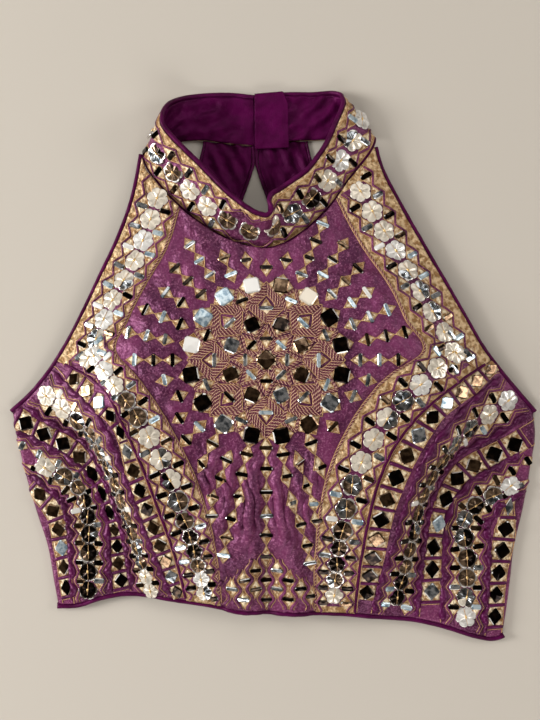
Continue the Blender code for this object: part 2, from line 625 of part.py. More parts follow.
def slope_rows():
    """Points down the two slopes beside the raised front, four to each row of facets."""
    y = np.arange(RISE["y"][-2] + 14, -44, EDGE_STEP)
    spots = []
    for foot, crest in (("left_foot", "left_crest"), ("right_foot", "right_crest")):
        a, b = smooth(RISE["y"], RISE[foot])(y), smooth(RISE["y"], RISE[crest])(y)
        spots += [np.column_stack([a + share * (b - a), y + 4 * (i % 2)])
                  for i, share in enumerate(SLOPE_SHARES)]
    return np.vstack(spots)


def build_front():
    """Centre front, its two borders, the two side fronts, and the piping of the armholes and the hem."""
    neck = neck_line()
    neck_left, rest = split_at(neck, BORDER, "left")
    neck_middle, neck_right = split_at(rest, BORDER, "right")
    underarm = PRINCESS["y"][0]
    arm, seam, border_line = {}, {}, {}
    for side, top in (("left", neck[0]), ("right", neck[-1])):
        arm[side] = np.vstack([top, edge(ARMHOLE, side, top[1] - EDGE_STEP / 2, underarm)])
        seam[side] = edge(PRINCESS, side, underarm, where_hem_meets(PRINCESS, side))
        start = (neck_left if side == "left" else neck_right)[-1 if side == "left" else 0]
        line = edge(BORDER, side, start[1], where_hem_meets(BORDER, side))
        line[0] = start
        border_line[side] = line
    bottoms = [seam["left"][-1, 0], border_line["left"][-1, 0], border_line["right"][-1, 0],
               seam["right"][-1, 0]]
    hem = [hem_line(a, b) for a, b in zip(bottoms[:-1], bottoms[1:])]
    hem[0][0], hem[0][-1] = seam["left"][-1], border_line["left"][-1]
    hem[1][0], hem[1][-1] = border_line["left"][-1], border_line["right"][-1]
    hem[2][0], hem[2][-1] = border_line["right"][-1], seam["right"][-1]

    centre = join(arm["left"], seam["left"], *hem, seam["right"][::-1], arm["right"][::-1],
                  neck_right[::-1], neck_middle[::-1], neck_left[::-1])[:-1]
    rows = slope_rows()
    rows = rows[inside(rows, centre)]

    def puffed(points):
        x = {side: smooth(BORDER["y"], BORDER[side])(points[:, 1]) for side in SIDES}
        return (points[:, 1] < PUFF_FROM) & (points[:, 0] > x["left"]) & (points[:, 0] < x["right"])

    line_points = np.vstack([resample(line, RIM_STEP) for line in border_line.values()])
    points = np.vstack([grid_points(centre, np.vstack([rows, line_points]), puffed),
                        clear_of(rows, line_points, 4.0)])
    star = fitting(star_mirrors(front_surface), centre)
    lines = [border_line["left"], border_line["right"]]
    make_node("front_centre", cloth(centre, front_surface, points, -WALL / 2, WALL / 2, lines, star),
              PLUM_SILK, 0.5)

    borders = {
        "left": join(arm["left"], seam["left"], hem[0], border_line["left"][::-1], neck_left[::-1])[:-1],
        "right": join(hem[2], seam["right"][::-1], arm["right"][::-1], neck_right[::-1],
                      border_line["right"])[:-1],
    }
    low = WALL / 2 + GAP
    for side, outline in borders.items():
        flowers = [f for name in ("armhole", "princess")
                   for f in row_mirrors(front_surface, FLOWER_ROWS[name, side], mirror_flower, FLOWER)]
        near = points[inside(points, outline)]
        wall = cloth(outline, front_surface, near, low, low + APPLIQUE_WALL,
                     features=fitting(flowers, outline))
        make_node(f"border_{side}", wall, GOLD_TISSUE, 0.4, 0.3)

    for side, sign in SIDES.items():
        build_side_front(side, sign, arm[side][-1], seam[side])
    build_front_piping(arm)


def side_fold(side, sign):
    """Rim of the front's roll along a side seam, from the underarm down to the hem."""
    line = edge(SIDE, side, SIDE["y"][0], where_hem_meets(SIDE, side))
    return line + (sign * ROLL_SLACK, 0)


def over_roll(line, corner):
    """A line whose last stretch is cut again where it goes over the roll, down to the corner."""
    stretch = corner - line[-2]
    shares = 1 - np.array(ROLL_SHARES)
    return np.vstack([line[:-1], line[-2] + shares[:, None] * stretch, corner])


def build_side_front(side, sign, top, seam):
    """A side front, from the princess seam to the roll at the side seam."""
    fold = side_fold(side, sign)
    arm = over_roll(edge(ARMHOLE, side, top[1], SIDE["y"][0]), fold[0])
    hem = hem_line(*sorted((fold[-1, 0], seam[-1, 0])))
    if side == "right":
        hem = hem[::-1]
    hem = over_roll(hem[::-1], fold[-1])[::-1]
    seam = seam - across(seam) * GAP * sign
    hem[-1], arm[0] = seam[-1], seam[0]
    outline = join(arm, fold, hem, seam[::-1])[:-1]
    if side == "right":
        outline = outline[::-1]
    roll = np.vstack([fold[1:-1] - (sign * run, 0) for run in ROLL_RUNS])
    crest = resample(fold - (sign * ROLL_RUNS[-1], 0), RIM_STEP)
    rows = slope_rows()
    rows = rows[inside(rows, outline)]
    rows = clear_of(rows, rim(outline), 4.0)
    points = np.vstack([grid_points(outline, np.vstack([rows, roll, crest])), rows, roll])
    mirrors = [m for name in ("slope", "side")
               for m in row_mirrors(front_surface, FLOWER_ROWS[name, side], mirror_flower, FLOWER)]
    mirrors += [m for name in ("inner", "middle", "outer")
                for m in row_mirrors(front_surface, SQUARE_ROWS[name, side], mirror_square, SQUARE)]
    wall = cloth(outline, front_surface, points, -WALL / 2, WALL / 2, features=fitting(mirrors, outline))
    make_node(f"front_side_{side}", wall, PLUM_SILK, 0.5)


def build_front_piping(arm):
    """Corded piping round each front armhole and along the front hem."""
    for side in SIDES:
        line = join(arm[side], edge(ARMHOLE, side, arm[side][-1, 1], SIDE["y"][0]))
        line[-1] = line[-2] + CORD_END_SHARE * (line[-1] - line[-2])
        if side == "right":
            line = line[::-1]
        path = edge_cord(front_sheet, line, PIPING)
        make_node(f"armhole_piping_{side}", tube(path, PIPING, PIPING_SIDES), PLUM_SATIN, 0.45)
    ends = [edge(SIDE, side, SIDE["y"][0], where_hem_meets(SIDE, side))[-1, 0] for side in SIDES]
    path = edge_cord(front_sheet, hem_line(*ends), PIPING)
    make_node("hem_piping", tube(path, PIPING, PIPING_SIDES), PLUM_SATIN, 0.45)


# ---------------------------------------------------------------- back
def back_surface(points):
    """Middle of the back cloth, flat on the table."""
    return np.column_stack([points, np.full(len(points), WALL / 2)])


def under_collar(x):
    """Height at which the back ends, just below the lower edge of the collar's flat part."""
    rows = [i for i, z in enumerate(COLLAR["bz"]) if z < FLAT_COLLAR]
    rows.sort(key=lambda i: COLLAR["bx"][i])
    return np.interp(x, COLLAR["bx"][rows], COLLAR["by"][rows]) - GAP - WALL / 10


def build_back():
    """Two back panels that meet below the keyhole, and the piping of their free edges."""
    centre = smooth(BACK_CENTRE["y"], BACK_CENTRE["x"])
    half = smooth(KEYHOLE["y"], KEYHOLE["half"])
    piping_room = 2 * BACK_PIPING + 2 * GAP
    for side, sign in SIDES.items():
        arm_top = float(under_collar(BACK_ARMHOLE[side][0]))
        arm = edge(BACK_ARMHOLE, side, arm_top, BACK_ARMHOLE["y"][-1])
        fold = edge(SIDE, side, SIDE["y"][0] - 2, where_hem_meets(SIDE, side) + BACK_HEM_RISE)
        fold = fold - (sign * BACK_INSET, 0)
        low_y = fold[-1, 1]
        hem_x = np.linspace(fold[-1, 0], float(centre(low_y)) + sign * GAP, 12)
        hem_y = smooth(HEM["x"], HEM["y"])(hem_x) + BACK_HEM_RISE
        hem = np.column_stack([hem_x, hem_y])
        hem[0] = fold[-1]
        split = np.array([(centre(KEYHOLE["y"][-1] - 4) + sign * GAP, KEYHOLE["y"][-1] - 4.0)])
        strap_top = float(under_collar(centre(KEYHOLE["y"][0]) + sign * piping_room)) - 2 * BACK_PIPING
        y = np.linspace(KEYHOLE["y"][-1], strap_top, 60)
        open_x = centre(y) + sign * (np.maximum(half(y), 0) + piping_room)
        keyhole = resample(np.column_stack([open_x, y]), EDGE_STEP * 0.8)
        strap = np.linspace(keyhole[-1, 0], arm[0, 0], 6)[1:-1]
        strap = np.column_stack([strap, under_collar(strap)])
        outline = np.vstack([arm, fold, hem[1:], split, keyhole, strap])
        if side == "right":
            outline = outline[::-1]
        wall = cloth(outline, back_surface, np.zeros((0, 2)), -WALL / 2, WALL / 2)
        make_node(f"back_{side}", wall, PLUM_SATIN, 0.5)

        cords = {"keyhole_piping": keyhole, "back_armhole_piping": arm, "back_hem_piping": hem}
        for name, line in cords.items():
            path = edge_cord(back_surface, line if side == "left" else line[::-1], BACK_PIPING)
            path[:, 2] = BACK_PIPING
            make_node(f"{name}_{side}", tube(path, BACK_PIPING, BACK_PIPING_SIDES), PLUM_SATIN, 0.45)


def main():
    for old in list(bpy.data.objects):
        bpy.data.objects.remove(old, do_unlink=True)
    build_front()
    build_back()
    build_collar()


main()
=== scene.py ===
"""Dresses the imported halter-neck choli: silk and tissue shells in the form of its solids, corded
edges, and the mirror embroidery that is sewn on them.

Tables and helpers are in millimetres, in the frame of the part; add_mesh turns them into metres.
A cloth is a surface: a function from two flat coordinates, where the cloth is laid out, to a point.
All that is sewn on a cloth is drawn in its flat coordinates and lifted along its normal.
"""

import bpy
import numpy as np
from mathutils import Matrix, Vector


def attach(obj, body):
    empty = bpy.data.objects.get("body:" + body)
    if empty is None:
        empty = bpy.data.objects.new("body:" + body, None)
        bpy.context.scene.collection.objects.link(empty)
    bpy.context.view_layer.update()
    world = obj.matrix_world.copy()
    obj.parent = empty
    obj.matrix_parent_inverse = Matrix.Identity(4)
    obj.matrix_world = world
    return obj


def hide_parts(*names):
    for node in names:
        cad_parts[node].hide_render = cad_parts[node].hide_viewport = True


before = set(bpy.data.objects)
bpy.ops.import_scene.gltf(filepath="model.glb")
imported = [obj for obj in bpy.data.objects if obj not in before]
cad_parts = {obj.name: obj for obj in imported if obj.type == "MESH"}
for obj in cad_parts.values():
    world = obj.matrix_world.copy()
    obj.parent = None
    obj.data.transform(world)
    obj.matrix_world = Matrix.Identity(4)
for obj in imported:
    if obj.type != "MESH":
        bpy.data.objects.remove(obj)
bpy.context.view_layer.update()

MM = 0.001
rng = np.random.default_rng(7)

# ---------------------------------------------------------------- sizes of the part
WALL = 2.0                   # thickness of the solids
GAP = 0.3                    # between pieces that meet
ROLL_RADIUS = 2.6            # side folds, at the middle of the cloth
ROLL_FOOT = 1.0              # straight drop from the roll to the table
FRONT_REST = ROLL_FOOT + ROLL_RADIUS                  # height of the front inside its side folds
ROLL_LENGTH = ROLL_FOOT + ROLL_RADIUS * np.pi / 2     # cloth that a side fold takes up
ROLL_SLACK = ROLL_LENGTH - ROLL_RADIUS - WALL / 2     # and how far it would reach past the edge
BACK_INSET = 4.2             # from the side fold to the back's edge under it
PIPING, BACK_PIPING = 1.8, 1.1     # radius of a cord
KEYHOLE_CORD = 1.35          # plump enough for the two to meet above the keyhole
CORD_SEAM = 0.15             # between a cord and the edge that it finishes
COLLAR_HEIGHT = 38.0
SIDES = {"left": -1, "right": 1}
SIDE_SEAM_TOP = -41.0        # where the armhole ends and the side fold starts
UNDERARM = 2.0               # where the princess seam leaves the armhole
STAR = np.array([-6.0, 3.0])
CUSHION, CUSHION_WIDTH = 2.0, 28.0       # fullness inside the side folds
EDGE_LIFT, EDGE_LIFT_FULL = 1.6, 50.0    # more height towards the neck
PUFF, PUFF_FROM, PUFF_FULL, PUFF_EDGE = 4.0, -58.0, -92.0, 8.0
RAYS_FROM, FIELD_EDGE = 68.0, 12.0       # puckers between the star's rays, and how they fade

SILK_TOP, SILK_UNDER = 1.0, -0.5         # faces of the silk, above its middle
TISSUE_TOP, TISSUE_UNDER = 1.9, 1.12     # faces of the gold tissue laid on it
BAND_UNDER = 0.15                        # inner face of the collar band, beside its lining
COLLAR_TOP = BAND_UNDER + WALL * 0.9
LINING_TOP, LINING_UNDER = -0.15, -1.15
BELOW_ALL, ABOVE_ALL = -230.0, 200.0     # places below and above the whole front

FLOWER = 8.7                # radius of a mirror flower
ROW_OFFSET = 10.4           # from the flowers to the gold diamonds on each side
DIAMOND_HALF = 5.6          # half width of those diamonds
ZIGZAG = (11.2, 16.6)       # the cord round them, beside a flower and beside a diamond
SQUARE_HALF = 8.2           # half side of the gold square under a square mirror
SUNK = 0.4                  # how far mirrors reach into the cloth


def table(columns, *rows):
    """Rows of numbers under named columns, as one array for each name."""
    return {name: np.array([row[i] for row in rows], float)
            for i, name in enumerate(columns.split())}


def tables(columns, rows):
    """A table under each key, all of the same columns."""
    return {key: table(columns, *values) for key, values in rows.items()}


ARMHOLE = table(
    "y left right",
    (182, -105, 80), (160, -108.5, 86), (130, -115.3, 101.3), (100, -126.5, 118.5),
    (70, -140.7, 136),
    (40, -154.8, 153.3), (10, -171.1, 171.3), (-10, -184.6, 186.7), (-25, -197.5, 199.8),
    (-41, -215, 213.8))
SIDE = table(
    "y left right",
    (-41, -215, 213.8), (-55, -212.7, 215.4), (-85, -206, 211.4), (-120, -196, 205.1),
    (-150, -186.3, 198.1), (-180, -181, 194.5), (-200, -177.4, 192), (-222, -175, 188.4))
PRINCESS = table(
    "y left right",
    (2, -176.2, 176.6), (-10, -148.6, 154.9), (-20, -134.5, 139.3), (-35, -124.5, 119.8),
    (-50, -117.5, 105.5), (-75, -105.8, 89.3), (-100, -95.8, 79.8), (-150, -79.2, 70.1),
    (-205, -68, 65.4))
BORDER = table(
    "y left right",
    (150, -71, 45), (125, -78, 56), (95, -86.8, 71.9), (60, -105.6, 94.5), (35, -117.5, 105.5),
    (8, -126, 117.5), (-8, -111, 93), (-30, -94.5, 72.3), (-60, -76.8, 54), (-100, -58.4, 39.4),
    (-140, -48.5, 34.4), (-205, -42.4, 33.9))
HEM = table(
    "x y",
    (-177, -197.5), (-161, -196.5), (-145, -191.1), (-125, -187), (-104, -187.2), (-83, -189.5),
    (-52, -194.2), (-28, -198.9), (-3, -200.1), (60, -202), (91, -205.1), (122, -209.1),
    (146, -215.3), (166, -221.6), (182, -223.9), (192, -220))
NECK = table(
    "x y",
    (-107.9, 170.7), (-105.3, 161.2), (-99.8, 153), (-93.6, 145.2), (-87.1, 137.7), (-80.2, 130.5),
    (-72.9, 123.7), (-65.2, 117.4), (-57.1, 111.6), (-48.6, 106.4), (-39.8, 101.9), (-30.6, 98),
    (-21.1, 95.1), (-11.3, 93.5), (-1.4, 93.5), (8.1, 96.5), (16.8, 101.2), (25, 107),
    (32.5, 113.5),
    (39.5, 120.5), (46.2, 127.9), (52.2, 135.8), (57.7, 144.1), (63.7, 152), (70, 159.8),
    (76, 167.7),
    (81.4, 176.1))
RISE = table(
    "y left_foot left_crest right_crest right_foot height",
    (182, -118, -78, 62, 92, 5.0), (140, -124, -75, 70, 112, 6.0), (95, -142, -75, 70, 135, 9.0),
    (50, -166, -84, 84, 163, 18.0), (10, -186, -100, 100, 186, 25.0),
    (-25, -200, -115, 115, 202, 27.5),
    (-42, -186, -124, 124, 188, 28.5), (-60, -163, -128, 130, 165, 29.0),
    (-85, -150, -115, 112, 147, 29.5),
    (-115, -139, -104, 96, 131, 28.5), (-145, -128, -93, 91, 126, 22.0),
    (-175, -120, -84, 84, 120, 12.5),
    (-200, -118, -72, 72, 118, 6.0), (-226, -118, -72, 72, 118, 5.0))
COLUMNS = table(
    "y a b c d e f g",
    (-60, -54, -38, -22, -6, 7, 21, 36), (-90, -62, -43, -27, -6, 11, 25, 41),
    (-125, -68, -49, -34, -6, 20, 33, 48), (-165, -76, -58, -41, -6, 30, 46, 62),
    (-210, -84, -66, -50, -5, 38, 54, 72))
FLOWER_ROWS = tables("number x y", {
    ("armhole", "left"): ((0, -94, 134), (3, -112, 83), (5, -129, 51), (8, -148, 4)),
    ("armhole", "right"): ((0, 70, 139), (3, 98, 91), (5, 117, 58), (8, 145, 8)),
    ("princess", "left"): ((0, -134, -6), (3, -107, -42), (6, -81, -91), (8, -70, -123),
                           (10, -63, -148), (13, -56, -184)),
    ("princess", "right"): ((0, 129, -4), (3, 89, -43), (6, 61, -95), (8, 54, -131),
                            (10, 50, -159), (12, 48.5, -186)),
    ("slope", "left"): ((0, -185, -26), (3, -146, -57), (6, -126, -96), (9, -113, -136),
                        (12, -103, -172)),
    ("slope", "right"): ((0, 191, -30), (3, 144, -64), (6, 119, -105), (9, 109, -150),
                         (12, 100, -190)),
    ("side", "left"): ((0, -203, -78), (3, -160, -101), (5, -152, -125), (8, -152, -170)),
    ("side", "right"): ((0, 194, -100), (3, 156, -127), (5, 158, -159), (8, 157, -207))})
SQUARE_ROWS = tables("number x y", {
    ("inner", "left"): ((0, -160, -13), (3, -128, -41), (7, -105, -99), (10, -90, -143),
                        (12, -82, -170)),
    ("inner", "right"): ((0, 163, -14), (3, 124, -42), (7, 89, -106), (10, 79, -154),
                         (12, 75, -184)),
    ("middle", "left"): ((0, -203, -49), (3, -159, -76), (6, -133, -121), (9, -127, -163)),
    ("middle", "right"): ((0, 197, -66), (3, 150, -94), (6, 131, -150), (8, 129, -186)),
    ("outer", "left"): ((0, -192, -107), (1, -181, -120), (3, -174, -151), (5, -170, -183)),
    ("outer", "right"): ((0, 190, -135), (2, 184, -171), (4, 181, -207))})
# Diamonds of the lower front that hang from the star, one under the other.
COLUMN_ROWS = tables("x y", {
    "centre": ((-6, -65.5), (-6, -82), (-6, -100), (-6, -119), (-6, -134.8), (-6, -152.5),
               (-6, -173), (-6, -190.4)),
    "left_1": ((-21.2, -71), (-24.8, -86.7), (-27, -104), (-33, -121.9), (-37.8, -136.9),
               (-39.7, -151.4)),
    "left_2": ((-36.5, -75.3), (-42, -89.9), (-48.3, -104.9), (-49, -119)),
    "left_3": ((-48, -62.3), (-55.9, -78.1)),
    "right_1": ((6.9, -71), (9.5, -88), (14.5, -108.8), (20.5, -126.1), (25.9, -143.5),
                (29, -158.1)),
    "right_2": ((19.5, -77.3), (25.9, -95.4), (30.8, -109.3), (33, -123)),
    "right_3": ((29, -62.3), (35.8, -81.2))})
# Columns of diamonds at the hem, to both sides of the middle one, and where each starts.
LATTICE = table("column first", (1, -163.5), (2, -172), (3, -179.6), (4, -187.0))
LATTICE_STEP, LATTICE_PITCH = 9.0, 16.6
# Painted reflection of each mirror, by what it shows: k black, s smoky brown, g cloudy grey, b pale
# blue, c cream, w white.
REFLECTION_TONES = {"k": 0.0, "s": 0.27, "g": 0.5, "b": 0.68, "c": 0.86, "w": 1.0}
FLOWER_TONES = {
    ("armhole", "left"): "ccwcccwcc", ("armhole", "right"): "cccwccccc",
    ("princess", "left"): "wcssccgsskkswc", ("princess", "right"): "cwggccggskksck",
    ("slope", "left"): "ccgssssssssscc", ("slope", "right"): "wcggssssssskk",
    ("side", "left"): "scssskgkkk", ("side", "right"): "wskgskscwk",
}
COLLAR_TONES = "gssccssgsscwgw"
RING_TONES = {"outer": "kkcswbbwkkgkksgk", "inner": "skkgssgs"}
COLLAR = table(
    "bx by bz tx ty tz",
    (-15, 179.5, 2.3, -16, 217.5, 2.3), (-38, 181.5, 2.3, -38, 219.5, 2.3),
    (-58, 184, 2.3, -62, 218, 4),
    (-75, 183, 2.3, -77, 212.5, 13), (-90, 180, 2.6, -85.5, 205, 23),
    (-101, 176.5, 3, -89, 196, 30),
    (-105.5, 170.5, 4, -88.5, 188.5, 32), (-103.5, 162, 5.5, -83, 180.5, 32.5),
    (-96, 151, 6.8, -73, 170, 32),
    (-86, 139, 7.6, -61, 158.5, 31), (-73, 126, 8, -49, 146, 31), (-59, 115, 8.5, -39, 136, 32),
    (-44, 106, 9, -30, 128.5, 33), (-29, 99.5, 9.5, -20.5, 121.5, 33.5),
    (-18, 96.5, 10, -11.5, 117, 34),
    (-11, 95.5, 10, -5, 116.5, 34), (-6, 95, 10, -2, 121, 33), (-2, 95, 10, -3.5, 126.5, 31.5),
    (3, 96, 10, -2, 132, 30), (12, 100, 10, 5, 137, 29), (24, 108, 10, 15, 144, 28),
    (35, 118, 9.8, 26, 152, 26.5), (47, 131, 9.5, 35, 163, 25), (57, 145.5, 9, 43, 175.5, 23),
    (68, 159, 8.8, 50, 191, 19), (75.5, 168.5, 8.6, 55, 202.5, 17),
    (80.5, 176.5, 8, 57.5, 210.5, 14),
    (82, 183.5, 5.4, 56, 217, 9.5), (75, 186.5, 2.8, 50, 220, 5), (60, 185.5, 2.3, 41, 220.5, 2.8),
    (44, 184.5, 2.3, 33, 220, 2.3), (16, 183.5, 2.3, 14, 220, 2.3),
    (-12.5, 181, 2.3, -13.5, 218.5, 2.3))
FLAT_COLLAR = 2.5
TAB = table("x y z", (-15.6, 176.2, 3.95), (12.6, 177.4, 3.95), (11.6, 213, 4.1), (7.6, 223.5, 4.1),
            (-15.8, 221.4, 4.15))
BACK_ARMHOLE = table(
    "y left right",
    (181, -56, 26), (165, -60, 30), (130, -73, 50), (90, -97, 82), (50, -127, 118), (10, -160, 156),
    (-20, -187, 186), (-40, -206, 205))
KEYHOLE = table("y half", (165, 0), (152, 4), (138, 9), (115, 16), (95, 19.5), (78, 18), (66, 11),
                (60, 0))
BACK_CENTRE = table("y x", (185, -15.5), (60, -15.5), (-210, -7))
BACK_HEM_RISE, BACK_ARM_FOOT = 7.0, -40


# ---------------------------------------------------------------- lines
def smooth(knots, values):
    """A smooth line through values at the knots: cubic pieces, with slopes taken from their
    neighbours."""
    knots, values = np.asarray(knots, float), np.asarray(values, float)
    if knots[0] > knots[-1]:
        knots, values = knots[::-1], values[::-1]
    slopes = np.gradient(values, knots, axis=0)

    def line(t):
        t = np.clip(np.asarray(t, float), knots[0], knots[-1])
        i = np.clip(np.searchsorted(knots, t) - 1, 0, len(knots) - 2)
        h = knots[i + 1] - knots[i]
        s = (t - knots[i]) / h
        if values.ndim > 1:
            s, h = s[..., None], h[..., None]
        return ((1 + 2 * s) * (1 - s) ** 2 * values[i] + s * (1 - s) ** 2 * h * slopes[i]
                + s ** 2 * (3 - 2 * s) * values[i + 1] - s ** 2 * (1 - s) * h * slopes[i + 1])
    return line


def ease(t):
    """0 to 1, starting and ending level."""
    t = np.clip(t, 0.0, 1.0)
    return t * t * (3 - 2 * t)


def unit(v):
    """Vectors made one long."""
    return v / np.maximum(np.linalg.norm(v, axis=-1, keepdims=True), 1e-12)


def lengths(points):
    """Length of a line up to each of its points."""
    return np.r_[0.0, np.cumsum(np.linalg.norm(np.diff(points, axis=0), axis=1))]


def resample(points, step):
    """The same line with its points an equal distance apart, close to step; both ends stay."""
    along = lengths(points)
    marks = np.linspace(0, along[-1], max(2, round(along[-1] / step)) + 1)
    return np.column_stack([np.interp(marks, along, points[:, i]) for i in range(points.shape[1])])


def inside(points, polygon):
    """Which points lie inside a polygon: those whose ray to the right crosses it an odd number of
    times."""
    x, y = points[..., 0][..., None], points[..., 1][..., None]
    a, b = polygon, np.roll(polygon, -1, axis=0)
    spans = (a[:, 1] > y) != (b[:, 1] > y)
    with np.errstate(divide="ignore", invalid="ignore"):
        crossing = a[:, 0] + (y - a[:, 1]) / (b[:, 1] - a[:, 1]) * (b[:, 0] - a[:, 0])
    return (spans & (x < crossing)).sum(axis=-1) % 2 == 1


EDGE = {(name, side): smooth(rows["y"], rows[side]) for side in SIDES
        for name, rows in (("armhole", ARMHOLE), ("side", SIDE), ("princess", PRINCESS),
                           ("border", BORDER), ("back_armhole", BACK_ARMHOLE))}
RISE_AT = {name: smooth(RISE["y"], RISE[name]) for name in RISE if name != "y"}
COLUMN_AT = [smooth(COLUMNS["y"], COLUMNS[name]) for name in "abcdefg"]
HEM_AT = smooth(HEM["x"], HEM["y"])
NECK_AT = smooth(NECK["x"], NECK["y"])
CENTRE_AT = smooth(BACK_CENTRE["y"], BACK_CENTRE["x"])
KEYHOLE_AT = smooth(KEYHOLE["y"], KEYHOLE["half"])


def room_within(name, x, y):
    """How far a place lies inside the nearer of the two edges of a name."""
    return np.minimum(x - EDGE[name, "left"](y), EDGE[name, "right"](y) - x)


# ---------------------------------------------------------------- surfaces
def waves(x, y, size, terms):
    """Uneven softness: a sum of sines of different directions, each size long and a little off."""
    turns = np.arange(1, terms + 1) * 2.4
    total = np.zeros_like(x)
    for i, turn in enumerate(turns):
        scale = 2 * np.pi / (size * (1 + 0.31 * np.sin(3.7 * i)))
        total += np.sin(scale * (x * np.cos(turn) + y * np.sin(turn)) + 1.9 * i)
    return total / terms


def column_puffs(x, y):
    """Puffs of silk between stitched columns: a sine that starts beside each column's diamonds,
    whose edge it follows in scallops.  Round ridges with narrow creases run wavily down it, crossed
    by slanting ones, weaker towards the hem; and all fades out at the borders."""
    lines = [line(y) for line in COLUMN_AT]
    height = np.zeros_like(x)
    scallop = 2.7 + 1.5 * np.cos(2 * np.pi * (y + 65.5) / 17.6)
    for left, right in zip(lines[:-1], lines[1:]):
        share = np.clip((x - left - scallop) / (right - left - 2 * scallop), 0, 1)
        height += np.sin(np.pi * share) ** 0.9 * np.clip((right - left) / 20.0, 0.6, 1.25)
    mask = ease(room_within("border", x, y) / PUFF_EDGE)
    mask *= ease((y - PUFF_FROM) / (PUFF_FULL - PUFF_FROM))
    down = x + 2.8 * np.sin(y / 9.0 + x / 23) + 1.7 * np.sin(y / 5.1)
    slanting = x + 0.5 * y + 3.0 * np.sin(y / 7.0)
    ridge = 2.4 * np.abs(np.sin(np.pi * down / 8.4)) - 1.5
    ridge += 0.5 * np.sin(2 * np.pi * slanting / 10.5)
    strength = 0.18 + 0.82 * ease((y + 155) / 50)
    return (PUFF * height + 1.5 * ridge * np.clip(height, 0, 1) * strength) * mask


def front_rise(x, y):
    """Height of the front above where it would lie flat: eased from foot to crest on both sides,
    with puffs between the stitched columns, a slight fullness inside the side folds, and puckers
    between the rays, where a cosine round the star is broken up by wrinkles across it."""
    at = {name: line(y) for name, line in RISE_AT.items()}
    left = ease((x - at["left_foot"]) / (at["left_crest"] - at["left_foot"]))
    right = ease((at["right_foot"] - x) / (at["right_foot"] - at["right_crest"]))
    body = at["height"] * left * right
    room = room_within("side", x, y) - WALL / 2 - ROLL_RADIUS
    cushion = CUSHION * ease(room / CUSHION_WIDTH)
    lift = EDGE_LIFT * ease(y / EDGE_LIFT_FULL)
    dx, dy = x - STAR[0], y - STAR[1]
    radius, angle = np.hypot(dx, dy), np.arctan2(dy, dx)
    field = ease((radius - RAYS_FROM) / FIELD_EDGE) * ease(room_within("border", x, y) / FIELD_EDGE)
    field *= ease((y + 55) / 20)
    between_rays = 0.5 - 0.5 * np.cos(32 * angle)
    wrinkle = np.sin(radius / 2.2 + 3 * np.sin(8 * angle) + 2 * np.sin(5 * angle))
    pucker = between_rays ** 0.8 * (2.1 + 0.85 * wrinkle * (0.6 + 0.4 * waves(x, y, 40, 3)))
    soft = 0.35 * waves(x, y, 34, 5) + 0.4 * waves(x, y, 11, 6)
    return body + cushion + lift + column_puffs(x, y) + field * pucker + soft * ease(room / 8)


def front_place(p):
    """Middle of the front cloth: FRONT_REST plus its rise.  Near each side fold it turns down over
    a quarter circle of ROLL_RADIUS and drops straight to the table."""
    u, v = p[..., 0], p[..., 1]
    x, z = u, FRONT_REST + front_rise(u, v)
    for side, sign in SIDES.items():
        fold = EDGE["side", side](v)
        run = np.clip((fold - u) * sign + ROLL_SLACK, 0, None)
        turn = np.clip(run - ROLL_FOOT, 0, None) / ROLL_RADIUS
        rolled = run < ROLL_LENGTH
        x = np.where(rolled, fold - sign * (WALL / 2 + ROLL_RADIUS * (1 - np.cos(turn))), x)
        drop = np.where(run < ROLL_FOOT, run, ROLL_FOOT + ROLL_RADIUS * np.sin(turn)) - FRONT_REST
        z = z + np.where(rolled, drop, 0)
    return np.stack([x, v, z], axis=-1)


def collar_lines():
    """The band's lower and upper edge as smooth lines over the length along its middle."""
    low = np.column_stack([COLLAR["bx"], COLLAR["by"], COLLAR["bz"]])
    high = np.column_stack([COLLAR["tx"], COLLAR["ty"], COLLAR["tz"]])
    along = lengths((low + high) / 2)
    return smooth(along, low), smooth(along, high), along[-1]


COLLAR_LOW, COLLAR_HIGH, COLLAR_LENGTH = collar_lines()


def collar_place(p):
    """Face between the collar band and its lining: straight up from the lower to the upper edge."""
    s, h = p[..., 0], p[..., 1]
    share = (h / COLLAR_HEIGHT)[..., None]
    return COLLAR_LOW(s) * (1 - share) + COLLAR_HIGH(s) * share


def back_place(p):
    """Middle of the back cloth, flat on the table."""
    return np.stack([p[..., 0], p[..., 1], np.full(p.shape[:-1], WALL / 2)], axis=-1)


class Surface:
    """A cloth's middle, as a function of flat points."""

    def __init__(self, place):
        self.place = place

    def normal(self, p, nudge=0.35):
        """Unit normal, from how the surface changes over a small nudge each way."""
        du, dv = np.array([nudge, 0]), np.array([0, nudge])
        return unit(np.cross(self.place(p + du) - self.place(p - du),
                             self.place(p + dv) - self.place(p - dv)))

    def lifted(self, p, lift):
        """Points at a height above the middle, along the normal."""
        return self.place(p) + self.normal(p) * np.asarray(lift)[..., None]

    def seats(self, spots, headings):
        """Where things are sewn: point, ahead, left and normal in space, and the flat steps that go
        one millimetre ahead and to the left along the cloth."""
        step = 0.4
        du = (self.place(spots + (step, 0)) - self.place(spots - (step, 0))) / (2 * step)
        dv = (self.place(spots + (0, step)) - self.place(spots - (0, step))) / (2 * step)
        ahead = unit(du * headings[:, :1] + dv * headings[:, 1:])
        normal = unit(np.cross(du, dv))
        left = np.cross(normal, ahead)
        a, b, c = (du * du).sum(1), (du * dv).sum(1), (dv * dv).sum(1)
        flat = []
        for way in (ahead, left):
            p, q = (du * way).sum(1), (dv * way).sum(1)
            flat.append(np.column_stack([c * p - b * q, a * q - b * p]) / (a * c - b * b)[:, None])
        return {"spot": spots, "point": self.place(spots), "ahead": ahead, "left": left,
                "normal": normal, "flat_ahead": flat[0], "flat_left": flat[1]}


FRONT = Surface(front_place)
BAND = Surface(collar_place)
BACK = Surface(back_place)


